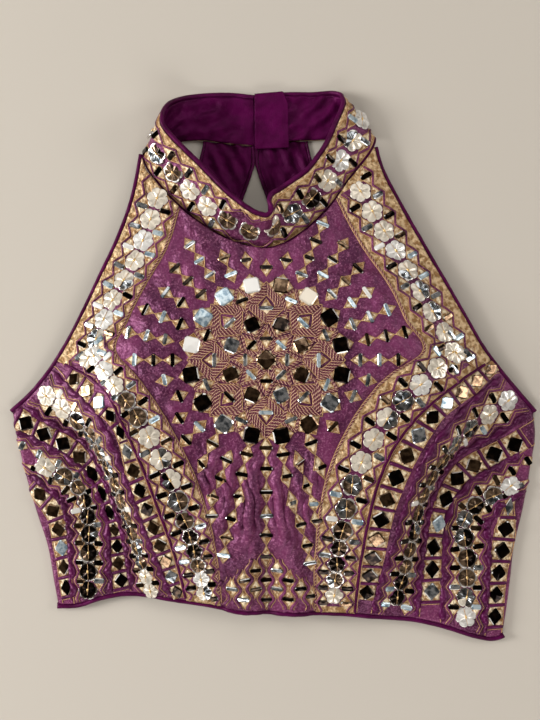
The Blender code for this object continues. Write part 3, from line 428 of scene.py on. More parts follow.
# ---------------------------------------------------------------- meshes
def add_mesh(name, verts, groups, material, uv=None, soft=True):
    """An object at the origin, from points in millimetres, groups of faces with equally many
    corners, and a flat coordinate for each corner of the faces in turn."""
    corners = np.concatenate([np.ravel(faces) for faces in groups])
    sizes = np.concatenate([np.full(len(faces), len(faces[0])) for faces in groups])
    data = bpy.data.meshes.new(name)
    for items, made in ((data.vertices, verts), (data.loops, corners), (data.polygons, sizes)):
        items.add(len(made))
    for items, what, values, kind in (
            (data.vertices, "co", np.asarray(verts, float) * MM, np.float32),
            (data.loops, "vertex_index", corners, np.int32),
            (data.polygons, "loop_start", np.cumsum(sizes) - sizes, np.int32),
            (data.polygons, "loop_total", sizes, np.int32),
            (data.polygons, "use_smooth", np.full(len(sizes), soft), bool)):
        items.foreach_set(what, values.astype(kind).ravel())
    if uv is not None:
        data.uv_layers.new(name="flat").data.foreach_set("uv", uv.astype(np.float32).ravel())
    data.update(calc_edges=True)
    data.validate()
    data.materials.append(material)
    piece = bpy.data.objects.new(name, data)
    bpy.context.scene.collection.objects.link(piece)
    return piece


def grid_faces(rows, columns):
    """Faces of a grid of points, rows by columns."""
    i, j = np.meshgrid(np.arange(rows - 1), np.arange(columns - 1), indexing="ij")
    a = (i * columns + j).ravel()
    return np.column_stack([a, a + 1, a + columns + 1, a + columns])


def rim_order(rows, columns):
    """Numbers of the points round a grid, once round."""
    grid = np.arange(rows * columns).reshape(rows, columns)
    return np.r_[grid[0, :-1], grid[:-1, -1], grid[-1, :0:-1], grid[:0:-1, 0]]


def shell(name, surface, flat, top, bottom, material):
    """A closed thin shell: a grid of flat points at two heights above a surface, joined round its
    rim.  flat runs so that its rows and columns make faces that look along the normal."""
    rows, columns = flat.shape[:2]
    above = surface.lifted(flat, np.broadcast_to(top, flat.shape[:2]))
    below = surface.lifted(flat, np.broadcast_to(bottom, flat.shape[:2]))
    verts = np.concatenate([above.reshape(-1, 3), below.reshape(-1, 3)])
    faces = grid_faces(rows, columns)
    ring = rim_order(rows, columns)
    after, half = np.roll(ring, -1), rows * columns
    rim = np.column_stack([after, ring, ring + half, after + half])
    quads = np.concatenate([faces, faces[:, ::-1] + half, rim])
    uv = np.concatenate([flat.reshape(-1, 2)] * 2) / 100.0
    return add_mesh(name, verts, [quads], material, uv[quads])


def between(left, right, bottom, top, shares, rows, high=184.0):
    """Flat points of a panel.  Across, they lie at shares of the way from the left to the right
    edge, both functions of y; along, in equal steps from where that line meets the bottom edge to
    where it meets the top edge, functions of x, which halving finds."""
    def across(y):
        return left(y) * (1 - shares) + right(y) * shares

    ends = []
    for line in (bottom, top):
        a, b = np.full(len(shares), BELOW_ALL), np.full(len(shares), high)
        for _ in range(40):
            y = (a + b) / 2
            under = y < line(across(y))
            a, b = np.where(under, y, a), np.where(under, b, y)
        ends.append((a + b) / 2)
    t = np.linspace(0, 1, rows + 1)[:, None]
    y = ends[0] * (1 - t) + ends[1] * t
    return np.stack([across(y), y], axis=-1)


def outline(flat):
    """The rim of a grid of flat points, as a polygon."""
    return flat.reshape(-1, 2)[rim_order(*flat.shape[:2])]


class Heap:
    """Many small shapes of one material, gathered into one piece."""

    def __init__(self, name, material, soft=False):
        self.name, self.material, self.soft, self.count = name, material, soft, 0
        self.verts, self.faces, self.uvs = [], {4: [], 3: []}, {4: [], 3: []}

    def add(self, verts, *groups):
        """Copies of one shape: verts is copies by points by 3.  A group is faces, which number the
        points of one copy, and their flat coordinates, copies by faces by corners by 2."""
        copies, points = verts.shape[:2]
        first = self.count + points * np.arange(copies)[:, None, None]
        self.verts.append(verts.reshape(-1, 3))
        for faces, uv in groups:
            corners = faces.shape[1]
            self.faces[corners].append((faces + first).reshape(-1, corners))
            self.uvs[corners].append(uv.reshape(-1, 2))
        self.count += copies * points

    def piece(self):
        """The finished object, pressed flat where it would go below the floor."""
        verts = np.concatenate(self.verts)
        verts[:, 2] = np.maximum(verts[:, 2], 0.0)
        groups = [np.concatenate(faces) for faces in self.faces.values() if faces]
        uv = np.concatenate(self.uvs[4] + self.uvs[3])
        made = add_mesh(self.name, verts, groups, self.material, uv, self.soft)
        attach(made, "root")
        return made


def lay_cord(heap, lines, normals, radius, sides, flatten=1.0, closed=False):
    """Round cords along lines, copies by points by 3.  A ring at each point is spanned by the side,
    square to the line and the cloth's normal, and by that normal; ends are closed by flat caps."""
    run = np.roll(lines, -1, 1) - np.roll(lines, 1, 1) if closed else np.gradient(lines, axis=1)
    run = unit(run)
    side = unit(np.cross(run, normals))
    up = np.cross(side, run)
    turn = 2 * np.pi * (np.arange(sides) + 0.5)[:, None] / sides
    ring = np.cos(turn) * side[:, :, None] + flatten * np.sin(turn) * up[:, :, None]
    verts = lines[:, :, None] + np.broadcast_to(radius, lines.shape[:2])[..., None, None] * ring
    copies, points = lines.shape[:2]
    i, j = np.indices((points if closed else points - 1, sides)).reshape(2, -1)
    after, beside = (i + 1) % points, (j + 1) % sides
    here, there = i * sides, after * sides
    quads = np.column_stack([here + j, there + j, there + beside, here + beside])
    along = np.cumsum(np.linalg.norm(np.diff(lines, axis=1, prepend=lines[:, :1]), axis=2), axis=1)
    step = np.linalg.norm(lines[:, 1] - lines[:, 0], axis=1)[:, None]
    start = along[:, i]
    end = np.where(i + 1 < points, along[:, after], start + step)
    low, high = (np.broadcast_to(k / sides, start.shape) for k in (j, j + 1))
    uv = np.stack([np.stack(corner, -1)
                   for corner in ((start, low), (end, low), (end, high), (start, high))], axis=2)
    if not closed:
        fan = np.array([(0, k, k + 1, k + 2) for k in range(1, sides - 2, 2)])
        quads = np.concatenate([quads, fan, fan[:, ::-1] + (points - 1) * sides])
        uv = np.concatenate([uv, np.zeros((copies, 2 * len(fan), 4, 2))], axis=1)
    heap.add(verts.reshape(copies, -1, 3), (quads, uv))


def sew_line(heap, surface, flat, lift, radius, sides=4, flatten=1.0, closed=False):
    """Cords sewn along flat lines of a surface, copies by points by 2."""
    flat = flat[None] if flat.ndim == 2 else flat
    lines = surface.lifted(flat, np.full(flat.shape[:2], lift))
    lay_cord(heap, lines, surface.normal(flat), radius, sides, flatten, closed)


def ring_faces(rings, around):
    """Faces of a shape of stacked rings, lowest or outermost first, and of the fan up to its
    tip."""
    i, k = np.indices((rings - 1, around)).reshape(2, -1)
    low, after = i * around + k, i * around + (k + 1) % around
    top, beside = low[-around:] + around, after[-around:] + around
    return (np.column_stack([low, after, after + around, low + around]),
            np.column_stack([top, beside, np.full(around, rings * around)]))


def patch_template(corners, cells):
    """A four-cornered flat patch as a grid with a low rim, its points as shares: ahead, left,
    height."""
    s = np.linspace(0, 1, cells + 1)
    u, v = np.meshgrid(s, s, indexing="ij")
    a, b, c, d = (np.asarray(corner, float) for corner in corners)
    flat = ((1 - u) * (1 - v))[..., None] * a + (u * (1 - v))[..., None] * b
    flat = flat + (u * v)[..., None] * c + ((1 - u) * v)[..., None] * d
    bulge = 2 * np.minimum(np.minimum(u, 1 - u), np.minimum(v, 1 - v)) ** 0.8
    top = np.concatenate([flat, 0.25 + 0.88 * bulge[..., None]], axis=-1).reshape(-1, 3)
    ring = rim_order(cells + 1, cells + 1)
    skirt = top[ring] * (1, 1, 0) + (0, 0, -0.25)
    count, size = len(top), len(ring)
    k = np.arange(size)
    quads = grid_faces(cells + 1, cells + 1)[:, ::-1]
    rim = np.column_stack([ring[k], ring[(k + 1) % size], count + (k + 1) % size, count + k])
    return np.concatenate([top, skirt]), np.concatenate([quads, rim])


def for_seats(size, seats):
    """A size that is one number, or one for each seat, shaped to scale the points of every copy."""
    return np.broadcast_to(size, len(seats["spot"]))[:, None, None]


def round_seats(seats, shape, ahead, left):
    """Flat points of copies of a shape round each seat, scaled ahead and to the left."""
    return (seats["spot"][:, None]
            + shape[:, :1] * for_seats(ahead, seats) * seats["flat_ahead"][:, None]
            + shape[:, 1:2] * for_seats(left, seats) * seats["flat_left"][:, None])


def drape(heap, surface, seats, template, lift, ahead, left):
    """Copies of a flat template laid on a cloth, so that it follows every fold."""
    points, quads = template
    flat = round_seats(seats, points, ahead, left)
    height = np.broadcast_to(points[:, 2], flat.shape[:2]) + lift
    uv = points[quads][..., :2] * 0.5 + rng.random((len(flat), 1, 1, 2))
    heap.add(surface.lifted(flat, height), (quads, uv))


def place(heap, seats, template, lift, ahead, left, wobble, tones=0.0, glint=False, lean=0.0):
    """Copies of a stiff template set on a cloth at its seats, each tipped by a few degrees, and
    leaning to level by a share.  The flat coordinates hold the painted reflection tone of each copy,
    or of each of its six petals, and how far out on it a corner is; a painted glint is one bevel that
    is bright whatever the tone."""
    points, *groups = template
    count = len(seats["spot"])
    out = np.hypot(points[:, 0], points[:, 1])
    tones = tones if np.ndim(tones) == 2 else np.reshape(tones, (-1, 1))
    tones = np.broadcast_to(tones, (count, 6))
    around = len(groups[1])
    sixth = np.arange(around) * 6 // around
    uvs = [np.stack(np.broadcast_arrays(tones[:, np.resize(sixth, len(faces)), None], out[faces]), -1)
           for faces in groups]
    # Painted glint: one bevel of each copy takes the brightest tone.
    if glint:
        uvs[0][np.arange(count), around + rng.integers(0, around, count), :, 0] = 1.0
    tip = np.radians(rng.normal(0, wobble, (count, 2)))[..., None]
    normal = unit(seats["normal"] + tip[:, 0] * seats["ahead"] + tip[:, 1] * seats["left"]
                  + (0, 0, lean))
    forward = unit(seats["ahead"] - normal * (seats["ahead"] * normal).sum(1, keepdims=True))
    sideways = np.cross(normal, forward)
    verts = (seats["point"][:, None] + (points[:, 2:] + lift) * normal[:, None]
             + points[:, :1] * for_seats(ahead, seats) * forward[:, None]
             + points[:, 1:2] * for_seats(left, seats) * sideways[:, None])
    heap.add(verts, *zip(groups, uvs))


def keep(seats, mask):
    """The seats that a mask keeps."""
    return {name: values[mask] for name, values in seats.items()}


def cut_glass(half_ahead, half_left, chamfer, bevel, thick, crown, turn=0.0):
    """A piece of mirror: eight-sided, with bevelled edges and a low crown."""
    a, b, c = half_ahead, half_left, chamfer
    ring = np.array([(a, -b + c), (a, b - c), (a - c, b), (-a + c, b), (-a, b - c), (-a, -b + c),
                     (-a + c, -b), (a - c, -b)])
    shrink = np.array([(a - bevel) / a, (b - bevel) / b])
    x, y = np.concatenate([ring, ring, ring * shrink]).T
    turned = np.column_stack([x * np.cos(turn) - y * np.sin(turn),
                              x * np.sin(turn) + y * np.cos(turn),
                              np.repeat([-SUNK, thick * 0.55, thick], 8)])
    return np.vstack([turned, (0, 0, thick + crown)]), *ring_faces(3, 8)


def pressed_flower(petals=6, around=48):
    """A pressed mirror flower of radius 1 in plan, heights in millimetres: six round petals with a
    notch between each two, softly dished, with a raised rim, and a low ridge that parts it in two
    halves."""
    share = np.array([1.0, 0.93, 0.76, 0.56, 0.34, 0.14])[:, None]
    turn = 2 * np.pi * np.arange(around) / around
    lobe = np.abs(np.sin(petals / 2 * turn))
    reach = share * (0.81 + 0.21 * lobe ** 0.55)
    x, y = reach * np.cos(turn), reach * np.sin(turn)
    rim = np.array([0.10, -0.06, 0, 0, 0, 0])[:, None]
    z = 1.3 - 0.3 * share ** 2 + 0.6 * np.sin(np.pi * share) * (lobe - 0.5) + rim - 0.9 * np.abs(y)
    points = np.stack([x, y, z], axis=-1)
    foot = points[:1] * (1, 1, 0) - (0, 0, SUNK)
    points = np.concatenate([foot, points]).reshape(-1, 3)
    quads, tip = ring_faces(len(share) + 1, around)
    quads = np.roll(quads, 1, axis=1)       # so that each bends from its inner corner
    return np.vstack([points, (0, 0, 1.32)]), quads, tip


def bead(radius, around=8):
    """A low round bead."""
    turn = 2 * np.pi * np.arange(around) / around
    tiers = [np.column_stack([width * np.cos(turn), width * np.sin(turn), np.full(around, height)])
             for width, height in ((1.0, -0.2), (1.0, 0.35), (0.72, 0.85))]
    return np.vstack([*tiers, (0, 0, 1.0)]) * radius, *ring_faces(3, around)


CORNERS = np.array([(1, 0), (0, 1), (-1, 0), (0, -1)], float)
DIAMOND = patch_template(CORNERS, 5)
DIAMOND_LOOP = np.concatenate([a + (b - a) * np.arange(3)[:, None] / 3
                               for a, b in zip(CORNERS, np.roll(CORNERS, -1, axis=0))])
SQUARE_PATCH = patch_template([(1, 1), (-1, 1), (-1, -1), (1, -1)], 6)
FLOWER_GLASS = pressed_flower()
BAR_GLASS = cut_glass(2.1, 4.7, 1.0, 0.55, 1.1, 0.1)
SMALL_BAR_GLASS = cut_glass(1.6, 4.9, 0.8, 0.45, 1.0, 0.1)
SQUARE_GLASS = cut_glass(5.4, 5.4, 1.1, 0.8, 1.3, 0.16, np.pi / 4)
SQUARE_GLASS_HALF = 7.6      # from its middle to its corners, were they not cut off
STAR_GLASS = cut_glass(5.6, 5.6, 1.5, 0.8, 1.3, 0.14)
HUB_GLASS = cut_glass(6.2, 6.2, 1.2, 0.8, 1.3, 0.4, np.pi / 4)
BEAD = bead(1.05)


# ---------------------------------------------------------------- materials
class Wire:
    """A value in a shader's tree.  Arithmetic on it adds Math nodes; node() adds any other kind."""

    def __init__(self, tree, socket):
        self.tree, self.socket = tree, socket

    def node(self, kind, settings=None, inputs=None, output=0):
        """Adds a node with its settings and inputs, by name or number, and gives one of its
        outputs."""
        made = self.tree.nodes.new(kind)
        for name, value in (settings or {}).items():
            setattr(made, name, value)
        for key, value in (inputs or {}).items():
            if isinstance(value, Wire):
                self.tree.links.new(value.socket, made.inputs[key])
            else:
                made.inputs[key].default_value = value
        return Wire(self.tree, made.outputs[output])

    def math(self, operation, *values):
        return self.node("ShaderNodeMath", {"operation": operation}, dict(enumerate(values)))

    def __add__(self, other):
        return self.math("ADD", self, other)

    def __sub__(self, other):
        return self.math("SUBTRACT", self, other)

    def __rsub__(self, other):
        return self.math("SUBTRACT", other, self)

    def __mul__(self, other):
        return self.math("MULTIPLY", self, other)

    __radd__, __rmul__ = __add__, __mul__

    def steps(self, low, high):
        """0 below low, 1 above high, and a smooth change between."""
        return self.node("ShaderNodeMapRange", {"interpolation_type": "SMOOTHSTEP"},
                         {"Value": self, "From Min": low, "From Max": high})

    def blend(self, first, second):
        """A colour from first to second, as this value goes from 0 to 1."""
        ends = [end if isinstance(end, Wire) else (*end, 1.0) for end in (first, second)]
        inputs = {0: self, 6: ends[0], 7: ends[1]}
        return self.node("ShaderNodeMix", {"data_type": "RGBA"}, inputs, output=2)


def material(name, colour, roughness, metallic=0.0, gloss=0.5, tint=(1.0, 1.0, 1.0), build=None):
    """A Principled material.  build(start) gives the inputs that vary over the surface."""
    made = bpy.data.materials.new(name)
    made.use_nodes = True
    tree = made.node_tree
    shader = tree.nodes["Principled BSDF"]
    shader.inputs["Base Color"].default_value = (*colour, 1.0)
    shader.inputs["Roughness"].default_value = roughness
    shader.inputs["Metallic"].default_value = metallic
    shader.inputs["Specular IOR Level"].default_value = gloss
    shader.inputs["Specular Tint"].default_value = (*tint, 1.0)
    if build:
        for key, wire in build(Wire(tree, None)).items():
            tree.links.new(wire.socket, shader.inputs[key])
    return made


def bumped(start, height, strength, distance):
    """A normal from a height."""
    return start.node("ShaderNodeBump", None,
                      {"Strength": strength, "Distance": distance, "Height": height})


def object_noise(start, scale, stretch=(1, 1, 1), detail=3.0, rough=0.55):
    """Noise in object coordinates, with features one over scale metres long, stretched along an
    axis."""
    where = start.node("ShaderNodeTexCoord", output=3)
    where = start.node("ShaderNodeMapping", None, {"Vector": where, "Scale": stretch})
    return start.node("ShaderNodeTexNoise", None,
                      {"Vector": where, "Scale": scale, "Detail": detail, "Roughness": rough})


def silk(start):
    """Plum silk: fine specks of painted sheen over slow changes of tone, whose darker streaks down
    the cloth are partly painted shade of folds.
    """
    # Painted shade: the tone is stretched down the cloth so that its darker streaks stand for the
    # shade of folds; otherwise it varies at random.
    tone = object_noise(start, 44, (1, 0.45, 1), detail=4)
    speck = object_noise(start, 620, rough=0.65)
    crumple = object_noise(start, 95)
    tone_with_painted_shade = tone.steps(0.36, 0.64).blend((0.040, 0.0030, 0.022), (0.146, 0.023, 0.083))
    # Painted sheen: specks of a highlight colour, most where the crumple is high.
    painted_glints = speck.steps(0.48, 0.70) * (crumple.steps(0.35, 0.65) * 0.55 + 0.4)
    lit = painted_glints.blend(tone_with_painted_shade, (0.36, 0.13, 0.235))
    height = speck * 0.4 + crumple * 2.5
    return {"Base Color": lit, "Roughness": 0.22 + speck * 0.22,
            "Normal": bumped(start, height, 0.9, 0.0015)}


def satin(start):
    """Dark plum satin: nearly even, with a close weave and soft rumples."""
    tone = object_noise(start, 60)
    weave = object_noise(start, 1500, (1, 0.5, 1), detail=1)
    rumple = object_noise(start, 45, detail=2)
    colour = tone.steps(0.3, 0.7).blend((0.042, 0.0008, 0.024), (0.082, 0.0018, 0.050))
    return {"Base Color": colour, "Normal": bumped(start, weave * 0.4 + rumple * 6.0, 0.6, 0.0013)}


def tissue(dark, bright):
    """Gold tissue: thin metallic cloth, finely crinkled, with painted shade in the crinkles' hollows
    and painted light on their crests, from a dark to a bright colour.
    """
    def build(start):
        crinkles_and_shade = object_noise(start, 270, detail=2, rough=0.5)
        grain = object_noise(start, 1500, detail=1)
        # Painted shade and light: the colour follows the bump's noise, dark in its hollows and bright
        # on its crests.
        return {"Base Color": crinkles_and_shade.steps(0.38, 0.61).blend(dark, bright),
                "Roughness": 0.32 + grain * 0.2,
                "Normal": bumped(start, crinkles_and_shade * 2.6 + grain * 0.25, 0.9, 0.0015)}
    return build


def flat_parts(start):
    """The two flat coordinates of a piece."""
    where = start.node("ShaderNodeUVMap", {"uv_map": "flat"})
    first = start.node("ShaderNodeSeparateXYZ", None, {0: where})
    return first, Wire(start.tree, first.socket.node.outputs[1])


def rope(start):
    """Maroon rope with short slanting stitches of gold."""
    along, around = flat_parts(start)
    stripe = start.math("SINE", along * 2.1 + around * 12.566)
    colour = stripe.steps(0.60, 0.88).blend((0.140, 0.015, 0.036), (0.82, 0.54, 0.37))
    return {"Base Color": colour, "Normal": bumped(start, stripe, 0.5, 0.0006)}


def wound(start):
    """Gold thread: bright turns of metal round a darker core."""
    along, around = flat_parts(start)
    stripe = start.math("SINE", along * 5.2 + around * 6.2832)
    return {"Base Color": stripe.steps(-0.7, 0.6).blend((0.34, 0.15, 0.05), (0.84, 0.56, 0.29))}


TONE_EDGE = 0.03     # how fast one tone's colour gives way to the next


def painted_reflection(start):
    """Painted reflection of a mirror: its colour from its tone, where 0 is black, then smoky brown,
    cloudy grey, pale blue, cream, and 1 is white; with the tone, how far out the place is, and
    clouds."""
    tone, out = flat_parts(start)
    cloud = object_noise(start, 210, rough=0.6)
    colour = cloud.steps(0.45, 0.70).blend((0.010, 0.008, 0.008), (0.060, 0.042, 0.032))
    for from_tone, low, high, dark, bright in (
            (0.12, 0.38, 0.64, (0.060, 0.036, 0.022), (0.28, 0.19, 0.12)),
            (0.38, 0.36, 0.60, (0.09, 0.11, 0.13), (0.62, 0.66, 0.70)),
            (0.58, 0.38, 0.58, (0.27, 0.39, 0.49), (0.74, 0.88, 0.96))):
        clouded = cloud.steps(low, high).blend(dark, bright)
        colour = tone.steps(from_tone, from_tone + TONE_EDGE).blend(colour, clouded)
    for from_tone, even in ((0.76, (0.84, 0.77, 0.65)), (0.92, (0.89, 0.88, 0.85))):
        colour = tone.steps(from_tone, from_tone + TONE_EDGE).blend(colour, even)
    return colour, tone, out, cloud


def glass(start):
    """Small mirrors, each with its own tone of painted reflection."""
    colour, tone, _, cloud = painted_reflection(start)
    return {"Base Color": colour, "Metallic": 1.0 - tone.steps(0.3, 1.0) * 0.75,
            "Roughness": 0.05 + tone * cloud * 0.3}


def petal_glass(start):
    """Pressed mirror petals: foil behind clear petals, with a silver rim that shows in every light.
    Their colour is a painted reflection, and light petals get clouds of painted grey shade."""
    colour, tone, out, cloud = painted_reflection(start)
    light = tone.steps(0.74, 0.80)
    smoky = tone.steps(0.12, 0.15) - tone.steps(0.38, 0.41)
    # Painted shade: light petals turn grey in clouds away from the flower's middle.
    painted_shade_mask = light * cloud.steps(0.47, 0.68) * out.steps(0.1, 0.45) * 0.6
    shade = painted_shade_mask.blend(colour, (0.34, 0.31, 0.27))
    rim = out.steps(0.80, 0.86) * (1.0 - light * 0.75)
    return {"Base Color": rim.blend(shade, (0.70, 0.67, 0.64)),
            "Metallic": 1.0 - smoky * 0.3 - light * 0.66, "Roughness": 0.12 + tone * 0.14}


SHIMMER = (1.0, 0.42, 0.80)     # silk's highlights take the colour of its threads
SILK = material("plum_silk", (0.1, 0.02, 0.06), 0.38, gloss=0.8, tint=SHIMMER, build=silk)
STRIP = material("plum_strip", (0.1, 0.02, 0.06), 0.38, gloss=0.7, tint=SHIMMER, build=silk)
SATIN = material("plum_satin", (0.056, 0.0024, 0.031), 0.42, gloss=0.26, tint=(1.0, 0.18, 0.72),
                 build=satin)
CORD = material("plum_cord", (0.056, 0.0024, 0.031), 0.4, gloss=0.25, tint=(1.0, 0.35, 0.8),
                build=satin)
PLEAT = material("plum_pleat", (0.08, 0.008, 0.05), 0.34, gloss=0.7, tint=SHIMMER, build=satin)
# The dark ends are painted shade in the tissue's crinkles, the bright ends painted light on their
# crests.
TISSUE = material("gold_tissue", (0.62, 0.40, 0.18), 0.4, metallic=0.42,
                  build=tissue((0.34, 0.185, 0.068), (0.76, 0.55, 0.32)))
PATCH = material("gold_patch", (0.62, 0.40, 0.18), 0.4, metallic=0.35,
                 build=tissue((0.36, 0.19, 0.070), (1.0, 0.84, 0.58)))
THREAD = material("gold_thread", (0.8, 0.5, 0.2), 0.4, metallic=0.35, build=wound)
ROPE = material("twisted_rope", (0.4, 0.2, 0.1), 0.5, metallic=0.1, build=rope)
GLASS = material("mirror_glass", (0.86, 0.87, 0.87), 0.05, metallic=1.0, build=glass)
PETALS = material("mirror_petals", (0.9, 0.88, 0.84), 0.1, metallic=1.0, build=petal_glass)
GOLD = material("gold_bead", (0.85, 0.58, 0.25), 0.3, metallic=0.8)


# ---------------------------------------------------------------- cloth of the front
sheets = {}


def cloth(node, kind, surface, flat, top, bottom, material):
    """A cloth set in place of its solid."""
    piece = sheets[node] = shell(f"{node}_{kind}", surface, flat, top, bottom, material)
    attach(piece, "root")
    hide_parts(node)


def front_edge(side):
    """Outer edge of the centre front and of its border: armhole, then princess seam."""
    return lambda y: np.where(y > UNDERARM, EDGE["armhole", side](y), EDGE["princess", side](y))


def side_edge(side):
    """Outer edge of a side front: the armhole, then over the side roll."""
    def edge(y):
        past = ease((SIDE_SEAM_TOP - y) / 5.0)
        return np.where(y > SIDE_SEAM_TOP, EDGE["armhole", side](y),
                        EDGE["side", side](y) + SIDES[side] * ROLL_SLACK * past)
    return edge


def seam_edge(side):
    """Inner edge of a side front, a gap beyond the princess seam."""
    return lambda y: EDGE["princess", side](y) + SIDES[side] * GAP


def neck_or_above(x):
    """The neck edge; beyond its ends, straight up out of the way."""
    return np.where((x < NECK["x"][0]) | (x > NECK["x"][-1]), ABOVE_ALL, NECK_AT(x))


def underarm_edge(x):
    """The point at the underarm where a side front ends."""
    return np.full_like(x, UNDERARM - 0.4)


CENTRE_FLAT = between(front_edge("left"), front_edge("right"), HEM_AT, neck_or_above,
                      np.linspace(0, 1, 214), 208)
cloth("front_centre", "silk", FRONT, CENTRE_FLAT, SILK_TOP, SILK_UNDER, SILK)
TOWARD_FOLD = np.r_[np.linspace(0, 0.955, 84), np.linspace(0.955, 1, 14)[1:]]    # closer at the roll
BORDER_FLAT, SIDE_FLAT = {}, {}
for side, sign in SIDES.items():
    turned = slice(None, None, -sign)      # edges are given from left to right
    BORDER_FLAT[side] = between(*(front_edge(side), EDGE["border", side])[turned],
                                HEM_AT, neck_or_above, np.linspace(0, 1, 29), 260)
    SIDE_FLAT[side] = between(*(side_edge(side), seam_edge(side))[turned], HEM_AT, underarm_edge,
                              TOWARD_FOLD if side == "right" else 1 - TOWARD_FOLD[::-1], 150)
    cloth(f"border_{side}", "tissue", FRONT, BORDER_FLAT[side], TISSUE_TOP,
          TISSUE_UNDER, TISSUE)
    cloth(f"front_side_{side}", "silk", FRONT, SIDE_FLAT[side], SILK_TOP, SILK_UNDER,
          SILK)

# ---------------------------------------------------------------- collar and back
COLLAR_FLAT = np.stack(np.meshgrid(np.linspace(0, COLLAR_LENGTH, 310),
                                   np.linspace(0, COLLAR_HEIGHT, 22)), axis=-1)


def lining_wrinkles(flat):
    """Slanting wrinkles of the collar's lining, strongest where it turns at the sides."""
    s, h = flat[..., 0], flat[..., 1]
    slant = np.sin(2 * np.pi * (s * 0.75 + h * 1.1) / 17 + 1.2 * np.sin(s / 21))
    flow = np.sin(2 * np.pi * (0.45 * s + h + 6 * np.sin(s / 14)) / 12.5)
    turn = ease((s - 4) / 30) * (1 - ease((s - 120) / 25)) + ease((s - 315) / 20)
    return np.clip((0.8 * slant + 0.7 * flow) * turn + 0.7 * waves(s, h, 18, 4), -0.6, 1.3)


cloth("collar", "band", BAND, COLLAR_FLAT, COLLAR_TOP, BAND_UNDER, TISSUE)
cloth("collar_lining", "satin", BAND, COLLAR_FLAT, LINING_TOP,
      LINING_UNDER - 1.2 * lining_wrinkles(COLLAR_FLAT), SATIN)


def under_collar(x):
    """Height at which the back ends, just below the lower edge of the collar's flat part."""
    rows = np.flatnonzero(COLLAR["bz"] < FLAT_COLLAR)
    rows = rows[np.argsort(COLLAR["bx"][rows])]
    return np.interp(x, COLLAR["bx"][rows], COLLAR["by"][rows]) - 0.5


def back_edges(side):
    """Free outer edge of a back panel, and its edge at the centre with the keyhole, over y."""
    sign = SIDES[side]

    def outer(y):
        fold = EDGE["side", side](y) - sign * BACK_INSET
        arm = EDGE["back_armhole", side](y)
        return arm + (fold - arm) * np.clip((BACK_ARM_FOOT - y) / 3, 0, 1)

    def inner(y):
        cord = 2 * BACK_PIPING + 2 * GAP
        opening = sign * (np.maximum(KEYHOLE_AT(y), 0) + cord)
        return CENTRE_AT(y) + np.where(y > KEYHOLE["y"][-1], opening, sign * GAP)
    return outer, inner


def back_hem(x):
    """Hem of the back."""
    return HEM_AT(x) + BACK_HEM_RISE


def strap_folds(flat):
    """Soft folds down the straps of the back, dying out over the body."""
    x, y = flat[..., 0], flat[..., 1]
    fade = ease((y - 60) / 60)
    fold = np.sin(2 * np.pi * (x + 0.3 * y) / 12 + 1.6 * np.sin(y / 13))
    fold += 0.6 * np.sin(x / 2.3 - y / 17)
    return 0.95 * fade * fold + 0.2 * waves(x, y, 42, 5)


across = np.linspace(0, 1, 61)
calm = ease(np.minimum(across, 1 - across) / 0.12)
for side, sign in SIDES.items():
    flat = between(*back_edges(side)[::-sign], back_hem, under_collar, across, 150, high=186.0)
    top = 0.75 + np.maximum(strap_folds(flat), -1.0) * calm
    cloth(f"back_{side}", "satin", BACK, flat, top, -WALL / 2 + 0.02, SATIN)


def tab_place(p):
    """Underside of the collar's tab: its corners blended across and along."""
    u, v = p[..., :1], p[..., 1:]
    corner = np.column_stack([TAB["x"], TAB["y"], TAB["z"]])
    low = corner[0] * (1 - u) + corner[1] * u
    top = np.where(u > 0.8, corner[3] * (1 - u) * 5 + corner[2] * (u * 5 - 4),
                   corner[4] * (1 - u / 0.8) + corner[3] * u / 0.8)
    return low * (1 - v) + top * v


tab_u, tab_v = np.meshgrid(np.linspace(0, 1, 33), np.linspace(0, 1, 49))
tab_flat = np.stack([tab_u, tab_v], axis=-1)
pinch = np.exp(-((tab_v - 0.52) / 0.1) ** 2) * np.exp(-tab_u / 0.2)
crease = (0.5 * np.sin(8 * tab_u + 5 * tab_v) * np.sin(np.pi * tab_u) * np.sin(np.pi * tab_v)
          + 0.5 * pinch * np.sin(34 * tab_v))
cloth("collar_tab", "satin", Surface(tab_place), tab_flat, 1.5 + crease, 0.0, SATIN)


# ---------------------------------------------------------------- corded edges
def corded(name, node, surface, flat, radius, cover=None):
    """A corded edge in place of its solid: a cord beside the edge, to the right of the line's
    direction, never below the table.  cover says where the stitched-down fold of its cover lies:
    how far inwards, how high, and its radius."""
    middle, normal = surface.place(flat), surface.normal(flat)
    out = unit(np.cross(np.gradient(middle, axis=0), normal))
    path = middle + out * (radius + CORD_SEAM)
    path[:, 2] = np.maximum(path[:, 2], radius)
    heap = Heap(name, CORD, soft=True)
    lay_cord(heap, path[None], normal[None], radius, 14)
    if cover:
        inwards, height, size = cover
        lay_cord(heap, (path - out * inwards + normal * height)[None], normal[None], size, 10)
    piece = heap.piece()
    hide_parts(node)


def sheet_place(p):
    """The front before its side edges are rolled."""
    return np.stack([p[..., 0], p[..., 1], FRONT_REST + front_rise(p[..., 0], p[..., 1])], axis=-1)


def over_y(line, high, low, count):
    """Flat points of a line that is a function of y, from one height down to another."""
    y = np.linspace(high, low, count)
    return np.column_stack([line(y), y])


